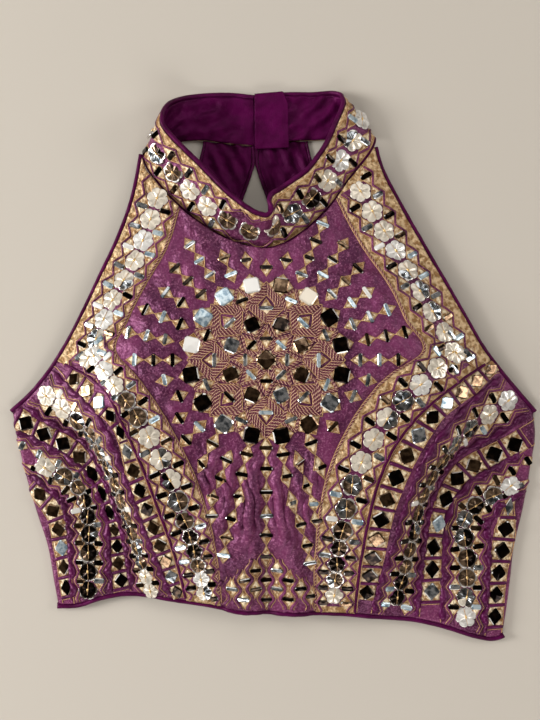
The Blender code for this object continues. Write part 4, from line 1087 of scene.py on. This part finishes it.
SHEET = Surface(sheet_place)
FRONT_COVER, COLLAR_COVER = (1.35 * PIPING, 0.1, 0.5 * PIPING), (3.0, 0.5, 1.45)
for side, end in (("left", 0), ("right", -1)):
    line = resample(over_y(EDGE["armhole", side], NECK["y"][end], SIDE_SEAM_TOP + 0.5, 300), 2.0)
    corded(f"armhole_{side}_cord", f"armhole_piping_{side}", SHEET, line[::-SIDES[side]], PIPING,
           FRONT_COVER)
x = np.linspace(EDGE["side", "left"](-197.5), EDGE["side", "right"](-221.5), 400)
corded("hem_cord", "hem_piping", SHEET, resample(np.column_stack([x, HEM_AT(x)]), 2.0), PIPING,
       FRONT_COVER)
line = np.column_stack([np.linspace(COLLAR_LENGTH, 0, 300), np.full(300, COLLAR_HEIGHT)])
corded("collar_cord", "collar_piping", BAND, line, PIPING, COLLAR_COVER)

for side, sign in SIDES.items():
    outer, inner = back_edges(side)
    arm_top = float(under_collar(BACK_ARMHOLE[side][0]))
    arm = over_y(EDGE["back_armhole", side], arm_top, BACK_ARM_FOOT, 200)
    low_y = float(back_hem(outer(np.array([-195.0 if side == "left" else -216.0]))[0]))
    x = np.linspace(float(outer(np.array([low_y]))[0]), float(CENTRE_AT(-190)) + sign * GAP, 120)
    hem = np.column_stack([x, back_hem(x)])
    strap_top = float(under_collar(CENTRE_AT(165) + sign * 2.8)) + 0.6
    hole = over_y(inner, KEYHOLE["y"][-1] + 0.5, strap_top, 160)
    for name, flat, radius in (("keyhole", hole, KEYHOLE_CORD), ("back_armhole", arm, BACK_PIPING),
                               ("back_hem", hem, BACK_PIPING)):
        corded(f"{name}_{side}_cord", f"{name}_piping_{side}", BACK, resample(flat[::-sign], 2.5),
               radius)


# ---------------------------------------------------------------- rows of embroidery
class Row:
    """A row of mirrors: a smooth line through numbered places, and true distances to both sides of
    it."""

    def __init__(self, surface, numbers, places, spread=20.0):
        self.surface = surface
        self.last = int(numbers[-1])
        inner = smooth(numbers, places)
        ends = np.array([0.0, float(self.last)])
        slope = (inner(ends + (0.05, 0)) - inner(ends - (0, 0.05))) / 0.05

        def line(t):
            t = np.asarray(t, float)
            before, after = np.minimum(t, 0)[..., None], np.maximum(t - self.last, 0)[..., None]
            return inner(np.clip(t, 0, self.last)) + before * slope[0] + after * slope[1]
        self.line = line
        self.t = np.arange(-1.8, self.last + 2.81, 0.1)
        self.b = np.linspace(-spread, spread, 81)
        middle = line(self.t)
        run = unit(np.gradient(middle, axis=0))
        self.right = np.column_stack([run[:, 1], -run[:, 0]])
        flat = middle[:, None] + self.b[None, :, None] * self.right[:, None]
        true = np.array([lengths(points) for points in surface.place(flat)])
        true -= true[:, 40:41]
        self.offset = np.array([np.interp(self.b, a, self.b) for a in true])
        self.points = surface.place(middle)

    def flat(self, t, b):
        """The flat point at a number along the row and a true distance to its right."""
        t, b = np.broadcast_arrays(np.asarray(t, float), np.asarray(b, float))
        i = np.clip((t - self.t[0]) / 0.1, 0, len(self.t) - 1.001)
        j = np.clip((b - self.b[0]) / (self.b[1] - self.b[0]), 0, len(self.b) - 1.001)
        i0, j0 = i.astype(int), j.astype(int)
        ahead, aside = (1 - i + i0, i - i0), (1 - j + j0, j - j0)
        off = sum(ahead[m] * aside[n] * self.offset[i0 + m, j0 + n] for m in (0, 1) for n in (0, 1))
        right = unit(sum(ahead[m][..., None] * self.right[i0 + m] for m in (0, 1)))
        return self.line(t) + off[..., None] * right

    def numbers(self, first=-1.5, step=1.0):
        """Numbers along the row, from before its first mirror to beyond its last."""
        return np.arange(first, self.last + 2.55, step)

    def seats(self, t, spots):
        """Seats at flat spots near the numbers t, heading along the row."""
        return self.surface.seats(spots, unit(self.line(t + 0.05) - self.line(t - 0.05)))

    def pitch(self, t):
        """True distance from one mirror to the next."""
        ends = [self.surface.place(self.line(t + half)) for half in (-0.5, 0.5)]
        return np.linalg.norm(ends[1] - ends[0], axis=-1)

    def room_to(self, others, nominal):
        """A function of t: the share of a nominal distance that there is to the nearest other
        point."""
        def room(t):
            here = self.surface.place(self.line(t))
            near = np.linalg.norm(here[..., None, :] - others, axis=-1).min(axis=-1)
            return np.clip(near / nominal, LEAST_ROOM, 1.0)
        return room


flowers = Heap("mirror_flowers", PETALS, soft=True)
squares = Heap("mirror_squares", GLASS)
bars = Heap("mirror_bars", GLASS)
beads = Heap("gold_beads", GOLD, soft=True)
patches = Heap("gold_patches", PATCH, soft=True)
threads = Heap("gold_threads", THREAD, soft=True)
plum_cords = Heap("plum_zigzags", STRIP, soft=True)
ropes = Heap("seam_ropes", ROPE, soft=True)
star_ropes = Heap("star_ropes", ROPE, soft=True)
strips = Heap("plum_pleats", PLEAT, soft=True)
seam_cords = Heap("seam_cords", CORD, soft=True)


def gold_diamonds(surface, seats, lift, ahead, left, height, radius=0.4, more=(0, 0)):
    """Gold diamonds at seats, each with a gold thread round it, at a height and a little more
    out."""
    drape(patches, surface, seats, DIAMOND, lift, ahead, left)
    loop = round_seats(seats, DIAMOND_LOOP, ahead + more[0], left + more[1])
    sew_line(threads, surface, loop, lift + height, radius, closed=True)


def tones_of(letters):
    """The tone that each letter stands for."""
    return np.array([REFLECTION_TONES[letter] for letter in letters])


def toned_row(letters, t):
    """Tones of a row's mirrors at numbers t; beyond its ends the last ones go on."""
    return tones_of(letters)[np.clip(np.round(t).astype(int), 0, len(letters) - 1)]


def some_tones(count, letters):
    """Tones drawn at random from letters, so that a letter written twice comes twice as often."""
    return tones_of(letters)[rng.integers(0, len(letters), count)]


# Painted reflections that the halves of a flower of each tone may show.
PETAL_TONES = {"k": "kkkks", "s": "ssssgk", "g": "gggksc", "b": "bbbgc", "c": "ccccccg",
               "w": "wwwwwc"}


def petal_tones(letters, t):
    """Tones of painted reflection of the six petals of each flower of a row: both halves drawn from
    PETAL_TONES, and one petal of the flower's own tone."""
    own = toned_row(letters, t)
    kinds = np.abs(own[:, None] - tones_of(REFLECTION_TONES)).argmin(axis=1)
    halves = [some_tones(2, PETAL_TONES[list(REFLECTION_TONES)[kind]]) for kind in kinds]
    petals = np.repeat(np.reshape(halves, (-1, 2)), 3, axis=1)
    petals[np.arange(len(own)), rng.integers(0, 6, len(own))] = own
    return petals


def cross_threads(seats, lift, radius, lean):
    """A gold thread over each flower, from notch to notch along its ridge."""
    normal = unit(seats["normal"] + (0, 0, lean))[:, None]
    ahead = seats["ahead"][:, None]
    ahead = unit(ahead - normal * (ahead * normal).sum(-1, keepdims=True))
    share = np.linspace(-0.78, 0.78, 7)[None, :, None]
    height = lift + 1.4 - 0.3 * share ** 2 - 0.3 * np.sin(np.pi * np.abs(share))
    lines = seats["point"][:, None] + share * radius[:, None, None] * ahead + height * normal
    lay_cord(threads, lines, np.broadcast_to(normal, lines.shape), 0.22, 4)


def clear_of_rolls(surface, spots, margin):
    """Which spots are clear of the front's side rolls by a margin; all of them on any other
    cloth."""
    x, y = spots.T
    return (room_within("side", x, y) > margin) | (y > SIDE_SEAM_TOP) | (surface is not FRONT)


SHINGLE, LEAN = 0.05, 0.3   # slopes by which flowers overlap along a row, and lean to level
LEAST_ROOM = 0.45           # share of its width that a row keeps however near its neighbour is
ROLL_MARGIN = 5.0           # between a flower's middle and a side fold
FLOWER_SHARE, DIAMOND_SHARE, SQUARE_SHARE = 0.525, 0.485, 0.44      # half lengths, of a row's pitch
PLEAT_WIDTH, PLEAT_SWELL, PLEAT_ROOM = 2.3, 1.0, 3.4
# Painted reflections of the mirror bars and squares, as tone letters.
BAR_TONES = "kkkkkkkkkksssgggbw"
SKY_BAR_TONES = "kkkkkssgggbbbbw"      # near the shoulders, where bars show more sky
SQUARE_TONES = "kkkkkkkksssgb"


def zigzag(t):
    """How far a row's plum cord lies from its middle: least beside each flower, most between
    two."""
    return ZIGZAG[0] + (ZIGZAG[1] - ZIGZAG[0]) * np.abs((t % 1) - np.round(t % 1)) * 2


def runs(kept, least):
    """Slices of a line where a mask keeps at least so many points in a row."""
    edges = np.flatnonzero(np.diff(np.r_[False, kept, False].astype(int)))
    return [slice(a, b) for a, b in zip(edges[::2], edges[1::2]) if b - a >= least]


def sew_inside(heap, row, line, region, lift, radius, sides=4):
    """Cords along the stretches of a line that lie inside a region."""
    for run in runs(inside(line, region), 4):
        sew_line(heap, row.surface, line[run], lift, radius, sides)


def flower_row(row, region, lift, rooms, letters, bar_letters):
    """One row of mirror flowers, between two lines of gold diamonds that each carry a mirror bar,
    with a plum cord and gold thread in zigzag round them.  rooms says how much room there is on
    each side."""
    t = row.numbers(-1.0)
    seats = row.seats(t, row.line(t))
    kept = np.all([inside(row.flat(t + a, b), region)
                   for a, b in ((0, 0), (0.3, 0), (-0.3, 0), (0, 6), (0, -6))], axis=0)
    kept &= clear_of_rolls(row.surface, seats["spot"], ROLL_MARGIN)
    seats, t = keep(seats, kept), t[kept]
    radius = np.minimum(FLOWER, FLOWER_SHARE * row.pitch(t))
    turn = rng.normal(0, 0.12, len(t))[:, None]
    seats.update(normal=unit(seats["normal"] - SHINGLE * seats["ahead"]),
                 ahead=unit(seats["ahead"] + turn * seats["left"]))
    place(flowers, seats, FLOWER_GLASS, lift + 0.35, radius, radius, wobble=2.5,
          tones=petal_tones(letters, t), lean=LEAN)
    cross_threads(seats, lift + 0.35, radius, LEAN)
    place(beads, seats, BEAD, lift + 1.6, 1.5, 0.85, wobble=0, lean=LEAN)
    for sign, room in zip((1, -1), rooms):
        half = row.numbers()
        share = room(half)
        spots, *others = (row.flat(half + step, sign * (ROW_OFFSET + more) * share)
                          for step, more in ((0, 0), (-0.4, 0), (0.4, 0), (0, DIAMOND_HALF)))
        seats = row.seats(half, spots)
        kept = np.all([inside(flat, region) for flat in (spots, *others)], axis=0)
        seats, share, length = keep(seats, kept), share[kept], DIAMOND_SHARE * row.pitch(half)[kept]
        gold_diamonds(row.surface, seats, lift, length, DIAMOND_HALF * share, 0.3, 0.38)
        place(bars, seats, BAR_GLASS, lift + 0.75, 1.0, share, wobble=5.0,
              tones=some_tones(len(share), bar_letters), glint=True)
        t = row.numbers(step=0.1)
        for extra, heap, size, sides in ((0.0, plum_cords, 1.0, 6), (1.25, threads, 0.36, 4),
                                         (-1.2, threads, 0.3, 4)):
            line = row.flat(t, sign * (zigzag(t) * room(t) + extra))
            sew_inside(heap, row, line, region, lift + 0.35, size, sides)


def pleats(row, region, lift, rooms):
    """Soft raised pleats of plum silk along both sides of a row, outside its zigzag, of uneven
    width."""
    t = row.numbers(step=0.06)
    swell = np.cos(2 * np.pi * t)
    for sign, room in zip((1, -1), rooms):
        middle = sign * (ZIGZAG[1] * room(t) + PLEAT_ROOM - PLEAT_SWELL * swell)
        line = row.flat(t, middle + 0.4 * np.sin(2 * np.pi * t * 1.3))
        clear = np.all([inside(flat, region) for flat in
                        (line, row.flat(t, middle + 2.8), row.flat(t, middle - 2.8))], axis=0)
        for run in runs(clear, 9):
            at = t[run]
            width = PLEAT_WIDTH + PLEAT_SWELL * swell[run] + 0.35 * np.sin(17.0 * at + sign)
            width *= ease((at - at[0]) / 0.4 + 0.15) * ease((at[-1] - at) / 0.4 + 0.15)
            sew_line(strips, row.surface, line[run], lift, np.maximum(width, 0.4)[None], 10, 0.75)


def flower_bed(name, row, region, lift):
    """The plum silk that shows round the flowers of a gold border: a strip as wide as the
    zigzag."""
    t = np.arange(-0.75, row.last + 0.76, 0.05)[:, None]
    flat = row.flat(t, np.linspace(-1, 1, 13) * zigzag(t))
    first, last = np.flatnonzero(inside(flat, region).all(axis=1))[[0, -1]]
    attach(shell(name, row.surface, flat[first:last + 1], lift + 0.22, lift - 0.15, STRIP), "root")


def square_row(row, region, lift, room):
    """A ladder of gold squares, each with a square mirror on its corner, and plum rungs between
    them."""
    t = row.numbers(-1.0)
    seats, share = row.seats(t, row.line(t)), room(t)
    corners = [row.flat(t + a, b * share) for a in (-0.3, 0.3) for b in (-6, 6)]
    kept = np.all([inside(flat, region) for flat in (seats["spot"], *corners)], axis=0)
    seats, t, share = keep(seats, kept), t[kept], share[kept]
    half = np.minimum(SQUARE_HALF, SQUARE_SHARE * row.pitch(t))
    drape(patches, row.surface, seats, SQUARE_PATCH, lift, half, SQUARE_HALF * share)
    place(squares, seats, SQUARE_GLASS, lift + 0.8, half / SQUARE_GLASS_HALF, share, wobble=5.0,
          tones=some_tones(len(t), SQUARE_TONES), glint=True)
    rungs, across = row.numbers()[:, None], np.linspace(-1, 1, 9)
    for step, heap, size, sides in ((0, strips, 1.5, 8), (-0.11, threads, 0.36, 4),
                                    (0.11, threads, 0.36, 4)):
        flat = row.flat(rungs + step + 0.05 * across, across * (SQUARE_HALF + 0.8) * room(rungs))
        flat = flat[inside(flat, region).all(axis=1)]
        sew_line(heap, row.surface, flat, lift + 0.2, size, sides, 0.6)
    t = row.numbers(step=0.1)
    for sign in (-1, 1):
        line = row.flat(t, sign * (SQUARE_HALF + 0.5) * room(t))
        sew_inside(threads, row, line, region, lift + 0.25, 0.4)


def edge_points(line, low, high):
    """Points of the front cloth along an edge."""
    return FRONT.place(over_y(line, low, high, 160))


def seam_line(line, high, count):
    """Flat points of a line down the front, cut off just inside its neck and its hem."""
    flat = resample(over_y(line, high, SEAM_FOOT, count), 1.6)
    return flat[(flat[:, 1] > HEM_AT(flat[:, 0]) + 1.0) & (flat[:, 1] < NECK_AT(flat[:, 0]) - 1.0)]


ROWS = {key: Row(FRONT, rows["number"], np.column_stack([rows["x"], rows["y"]]))
        for key, rows in {**FLOWER_ROWS, **SQUARE_ROWS}.items()}
ROOM_IN_BORDER, ROOM_ON_SIDE = 17.2, 30.0
SEAM_FOOT = -203.0
for side, sign in SIDES.items():
    # Rows run down: their right is outwards on the front's left half, inwards on its right half.
    turned = slice(None, None, -sign)
    region = outline(BORDER_FLAT[side])
    seam = edge_points(EDGE["princess", side], 0, -205)
    arm = edge_points(EDGE["armhole", side], 176, -8)
    inner = edge_points(EDGE["border", side], 150, -205)
    for name, outer, bar_letters in (("armhole", arm, SKY_BAR_TONES),
                                     ("princess", seam, BAR_TONES)):
        row = ROWS[name, side]
        rooms = [row.room_to(edge, ROOM_IN_BORDER) for edge in (outer, inner)][turned]
        flower_bed(f"{name}_bed_{side}", row, region, TISSUE_TOP)
        flower_row(row, region, TISSUE_TOP + 0.2, rooms, FLOWER_TONES[name, side], bar_letters)
    region = outline(SIDE_FLAT[side])
    for name, outwards, inwards in (("slope", "middle", "inner"), ("side", "outer", "middle")):
        row = ROWS[name, side]
        rooms = [row.room_to(ROWS[other, side].points, ROOM_ON_SIDE)
                 for other in (outwards, inwards)][turned]
        flower_row(row, region, SILK_TOP, rooms, FLOWER_TONES[name, side], BAR_TONES)
        pleats(row, region, SILK_TOP + 0.1, rooms)
    for name, near in (("inner", "slope"), ("middle", "slope"), ("outer", "side")):
        row = ROWS[name, side]
        to_flowers = row.room_to(ROWS[near, side].points, ROOM_ON_SIDE)
        to_seam = row.room_to(seam, SQUARE_HALF + 1.2)
        square_row(row, region, SILK_TOP, lambda t: np.minimum(to_flowers(t), to_seam(t)))

    line = seam_line(EDGE["princess", side], UNDERARM - 3, 300)
    sew_line(seam_cords, FRONT, line, TISSUE_TOP + 0.1, 1.15, 8)
    for shift in (-1.6, 1.6):
        sew_line(threads, FRONT, line + (sign * shift, 0), TISSUE_TOP - 0.2, 0.45, 6)
    line = seam_line(EDGE["border", side], 150, 400)
    sew_line(ropes, FRONT, line, TISSUE_TOP, 0.75, 6)
    sew_line(threads, FRONT, line - (sign * 1.2, 0), SILK_TOP + 0.3, 0.42, 6)

# ---------------------------------------------------------------- collar's embroidery
COLLAR_FIRST, COLLAR_PITCH, COLLAR_COUNT = 84.6, 19.4, 14
COLLAR_FROM, COLLAR_TO = 62, 352
numbers = np.arange(COLLAR_COUNT, dtype=float)
along = COLLAR_FIRST + COLLAR_PITCH * numbers
middle = np.full_like(along, COLLAR_HEIGHT / 2 - 0.5)
row = Row(BAND, numbers, np.column_stack([along, middle]), 18.0)
region = np.array([(COLLAR_FROM, 1.0), (COLLAR_TO, 1.0), (COLLAR_TO, COLLAR_HEIGHT - 2.2),
                   (COLLAR_FROM, COLLAR_HEIGHT - 2.2)])
flower_bed("collar_bed", row, region, COLLAR_TOP)
flower_row(row, region, COLLAR_TOP + 0.2, (np.ones_like, np.ones_like), COLLAR_TONES, BAR_TONES)
s = np.linspace(COLLAR_FROM, COLLAR_TO, 180)
for heap, h, lift, radius, sides in ((threads, 2.1, 0, 0.45, 6),
                                     (threads, COLLAR_HEIGHT - 2.3, 0, 0.45, 6),
                                     (seam_cords, 0.5, -0.4, 1.1, 8)):
    sew_line(heap, BAND, np.column_stack([s, np.full_like(s, h)]), COLLAR_TOP + lift, radius, sides)


# ---------------------------------------------------------------- star
def outwards(degrees):
    """Flat directions; degrees turn from +X towards +Y."""
    turn = np.radians(degrees)
    return np.stack([np.cos(turn), np.sin(turn)], axis=-1)


def polar(radius, degrees):
    """Flat points about the middle of the star."""
    return STAR + np.asarray(radius, float)[..., None] * outwards(degrees)


EIGHT = np.arange(8) * 45.0
SIXTEEN = 11.25 + np.arange(16) * 22.5
lift = SILK_TOP + 0.2

hub = FRONT.seats(polar([0.0], [90.0]), outwards([90.0]))
drape(patches, FRONT, hub, SQUARE_PATCH, lift, 7.4, 7.4)
place(squares, hub, HUB_GLASS, SILK_TOP + 0.8, 1.0, 1.0, wobble=1.0, tones=REFLECTION_TONES["s"])
for radius, degrees, size, gold, ring in ((30.0, EIGHT + 22.5, 1.0, 9.0, "inner"),
                                          (60.3, SIXTEEN, 1.12, 9.8, "outer")):
    seats = FRONT.seats(polar(radius, degrees), outwards(degrees))
    gold_diamonds(FRONT, seats, lift, gold, gold, 0.3)
    place(squares, seats, STAR_GLASS, SILK_TOP + 0.9, size, size, wobble=4.0,
          tones=toned_row(RING_TONES[ring], np.arange(len(degrees))), glint=True)
for radius, degrees, ahead, left in ((16.5, EIGHT, 7.2, 4.3), (41.2, EIGHT, 7.6, 4.9),
                                     (51.0, EIGHT + 22.5, 7.0, 4.4)):
    seats = FRONT.seats(polar(radius, degrees), outwards(degrees))
    gold_diamonds(FRONT, seats, lift, ahead, left, 0.4, 0.38)
    place(bars, seats, SMALL_BAR_GLASS, SILK_TOP + 1.0, 1.0, left / 4.2, wobble=4.0,
          tones=some_tones(8, "kkgggb"), glint=True)


def nested(corners, middle, scales, lift, radius, heap):
    """Cords along one closed outline, laid again and again, smaller and smaller about its middle,
    at each eighth of the star.  corners and middle are radius and degrees."""
    points, centre = polar(*np.transpose(corners)), polar(*middle)
    a, b = outwards(EIGHT).T[..., None]
    for scale in scales:
        loop = centre + scale * (points - centre)
        x, y = (resample(np.vstack([loop, loop[:1]]), 1.7)[:-1] - STAR).T
        spun = np.stack([x * a - y * b, x * b + y * a], axis=-1)
        sew_line(heap, FRONT, STAR + spun, lift, radius, 6, 0.85, closed=True)


# Outlines of the star, as radius and degrees, with the middle of each, and the scales at which rope
# and thread repeat them.
PETAL = ((7.9, 0.0), (12.5, 17.5), (18.0, 17.5), (26.4, 0.0), (18.0, -17.5), (12.5, -17.5))
KITE = ((28.8, 0.0), (37.0, 13.5), (45.5, 20.0), (52.5, 10.5), (61.8, 0.0), (52.5, -10.5),
        (45.5, -20.0), (37.0, -13.5))
CELL = ((20.5, 22.5), (30.0, 40.0), (40.4, 22.5), (30.0, 5.0))
SPEAR = ((42.5, 22.5), (51.0, 30.3), (59.5, 22.5), (51.0, 14.7))
for corners, middle, in_rope, in_thread in (
        (PETAL, (16.5, 0.0), (0.96, 1.16), (1.06, 0.84)),
        (KITE, (43.5, 0.0), (0.94, 0.81, 0.68, 0.55), (1.04, 0.46)),
        (CELL, (30.2, 22.5), (1.0,), (1.08,)),
        (SPEAR, (51.0, 22.5), (1.0, 1.2), (0.9, 1.1))):
    nested(corners, middle, in_rope, SILK_TOP + 0.35, 0.86, star_ropes)
    nested(corners, middle, in_thread, SILK_TOP + 0.5, 0.34, threads)

# ---------------------------------------------------------------- rays and columns of diamonds
field = outline(CENTRE_FLAT)


def in_field(spots, margin):
    """Which spots lie in the plum field: between the borders and below the neck, by a margin."""
    x, y = spots[..., 0], spots[..., 1]
    clear = (y < NECK_AT(x) - margin) & (y > HEM_AT(x) + margin)
    return clear & (room_within("border", x, y) > margin)


def small_diamonds(spots, headings, ahead, left, letters):
    """Gold diamonds with a mirror bar across each, and a gold thread round it that runs to the
    next; letters are drawn for the bars' painted reflections."""
    seats = FRONT.seats(spots, headings)
    gold_diamonds(FRONT, seats, SILK_TOP, ahead, left, 0.3, more=(0.7, 0.3))
    place(bars, seats, SMALL_BAR_GLASS, SILK_TOP + 1.05, 1.0, left / 4.3, wobble=5.0,
          tones=some_tones(len(spots), letters), glint=True)


RAY_PITCH, RAY_DIAMOND = 14.9, (6.6, 4.7)
LONGEST_HALF = 12.0     # of a diamond in a column
SWING = 1.9             # how far the plum cords between the columns wave
for first, degrees in ((74.0, np.arange(16) * 22.5), (81.5, SIXTEEN)):
    # No ray starts within 42 degrees of straight down, where the columns hang.
    degrees = degrees[np.abs((degrees - 270 + 180) % 360 - 180) > 42]
    for middle in first + RAY_PITCH * np.arange(5):
        spots = polar(middle, degrees)
        kept = in_field(spots, 7.5)
        if kept.any():
            small_diamonds(spots[kept], outwards(degrees[kept]), *RAY_DIAMOND, "kkkkksgggbbw")
            r = np.linspace(middle - RAY_PITCH / 2, middle + RAY_PITCH / 2, 6)
            lines = polar(r, degrees[kept][:, None])
            for end in (lines[:, :2], lines[:, -2:]):
                sew_line(threads, FRONT, end, SILK_TOP + 0.25, 0.4)


def hanging(spots, left, letters):
    """A column of small diamonds, each as long as its share of the way to the next."""
    gaps = np.linalg.norm(np.diff(FRONT.place(spots), axis=0), axis=1)
    half = 0.47 * (np.r_[gaps[:1], gaps] + np.r_[gaps, gaps[-1:]]) / 2
    half = np.minimum(half, LONGEST_HALF)
    small_diamonds(spots, unit(np.gradient(spots, axis=0)), half, left, letters)


def wavy_cords(x, sign, high, crest, swing, margin=None):
    """A plum cord between two threads, half a step beside x, waving from a height down to the
    hem."""
    y = np.arange(high, HEM_AT(x) + 2.0, -0.8)
    wave = swing * np.cos(2 * np.pi * (y - crest) / LATTICE_PITCH)
    for offset, heap, size in ((0.0, plum_cords, 1.45), (1.6, threads, 0.34),
                               (-1.6, threads, 0.34)):
        line = np.column_stack([x + sign * (LATTICE_STEP / 2 + wave + offset), y])
        if margin:
            line = line[in_field(line, margin)]
        if len(line) > 4:
            sew_line(heap, FRONT, line, SILK_TOP + 0.3, size, 6)


for rows in COLUMN_ROWS.values():
    hanging(np.column_stack([rows["x"], rows["y"]]), 4.7, "kkkkkkkkkkssggb")
for k, first in zip(LATTICE["column"], LATTICE["first"]):
    for sign in (-1, 1):
        x = STAR[0] + sign * LATTICE_STEP * k
        y = first - LATTICE_PITCH * np.arange(4)
        spots = np.column_stack([np.full(4, x), y])[y > HEM_AT(x) + 4.5]
        spots = spots[in_field(spots, 3.0)]
        if len(spots) > 1:
            hanging(spots, 4.2, "kkkkkkkg")
        elif len(spots):
            small_diamonds(spots, np.array([(0.0, -1.0)]), 7.6, 4.2, "kkg")
        wavy_cords(x, sign, first + 9.0, first, SWING, 1.5)     # away from the diamonds beside it
for sign in (-1, 1):
    wavy_cords(STAR[0], sign, -150.0, -164.5, -SWING)

for heap in (flowers, squares, bars, beads, patches, threads, plum_cords, ropes, star_ropes, strips,
             seam_cords):
    heap.piece()

# ---------------------------------------------------------------- floor, lights and camera
FLOOR_HALF = 4000
floor = add_mesh("floor", np.array([(-1, -1, 0), (1, -1, 0), (1, 1, 0), (-1, 1, 0)]) * FLOOR_HALF,
                 [[(0, 1, 2, 3)]], material("pale_floor", (0.60, 0.56, 0.50), 0.85))


def softbox(name, where, aim, width, height, power, colour):
    """A soft area light at a place in metres, turned to an aim."""
    data = bpy.data.lights.new(name, "AREA")
    data.shape, data.size, data.size_y = "RECTANGLE", width, height
    data.energy, data.color = power, colour
    light = bpy.data.objects.new(name, data)
    light.location = where
    way = np.array(aim, float) - np.array(where, float)
    light.rotation_mode = "QUATERNION"
    light.rotation_quaternion = Vector(way).to_track_quat("-Z", "Y")
    bpy.context.scene.collection.objects.link(light)


softbox("window", (0.0, 1.05, 1.15), (0, -0.1, 0), 1.8, 1.1, 7.5, (1.0, 0.98, 0.95))
softbox("key", (-1.98, 0.15, 0.88), (0, -0.05, 0), 0.75, 0.75, 40, (1.0, 0.97, 0.92))
softbox("left_fill", (-1.7, -0.3, 0.9), (0, 0, 0), 1.0, 0.8, 6, (0.93, 0.96, 1.0))
softbox("right_fill", (1.6, 0.3, 0.9), (0, 0, 0), 0.8, 0.6, 9, (1.0, 0.97, 0.93))
softbox("near_fill", (0.1, -1.4, 0.95), (0, -0.1, 0), 1.4, 0.6, 11, (1.0, 0.96, 0.92))
world = bpy.data.worlds.new("studio")
world.use_nodes = True
world.node_tree.nodes["Background"].inputs["Color"].default_value = (0.34, 0.28, 0.23, 1.0)
world.node_tree.nodes["Background"].inputs["Strength"].default_value = 0.3
bpy.context.scene.world = world
bpy.context.scene.view_settings.view_transform = "Standard"

CAMERA_AT = (-0.0031, 0.0031, 0.718)
HALF_HEIGHT_TAN = 0.4143    # of half the view's height
camera_data = bpy.data.cameras.new("camera")
camera_data.sensor_width = 36.0
camera_data.lens = 18.0 / HALF_HEIGHT_TAN
camera_data.dof.use_dof = False
camera = bpy.data.objects.new("camera", camera_data)
camera.location = CAMERA_AT
bpy.context.scene.collection.objects.link(camera)
bpy.context.scene.camera = camera

bpy.context.view_layer.update()
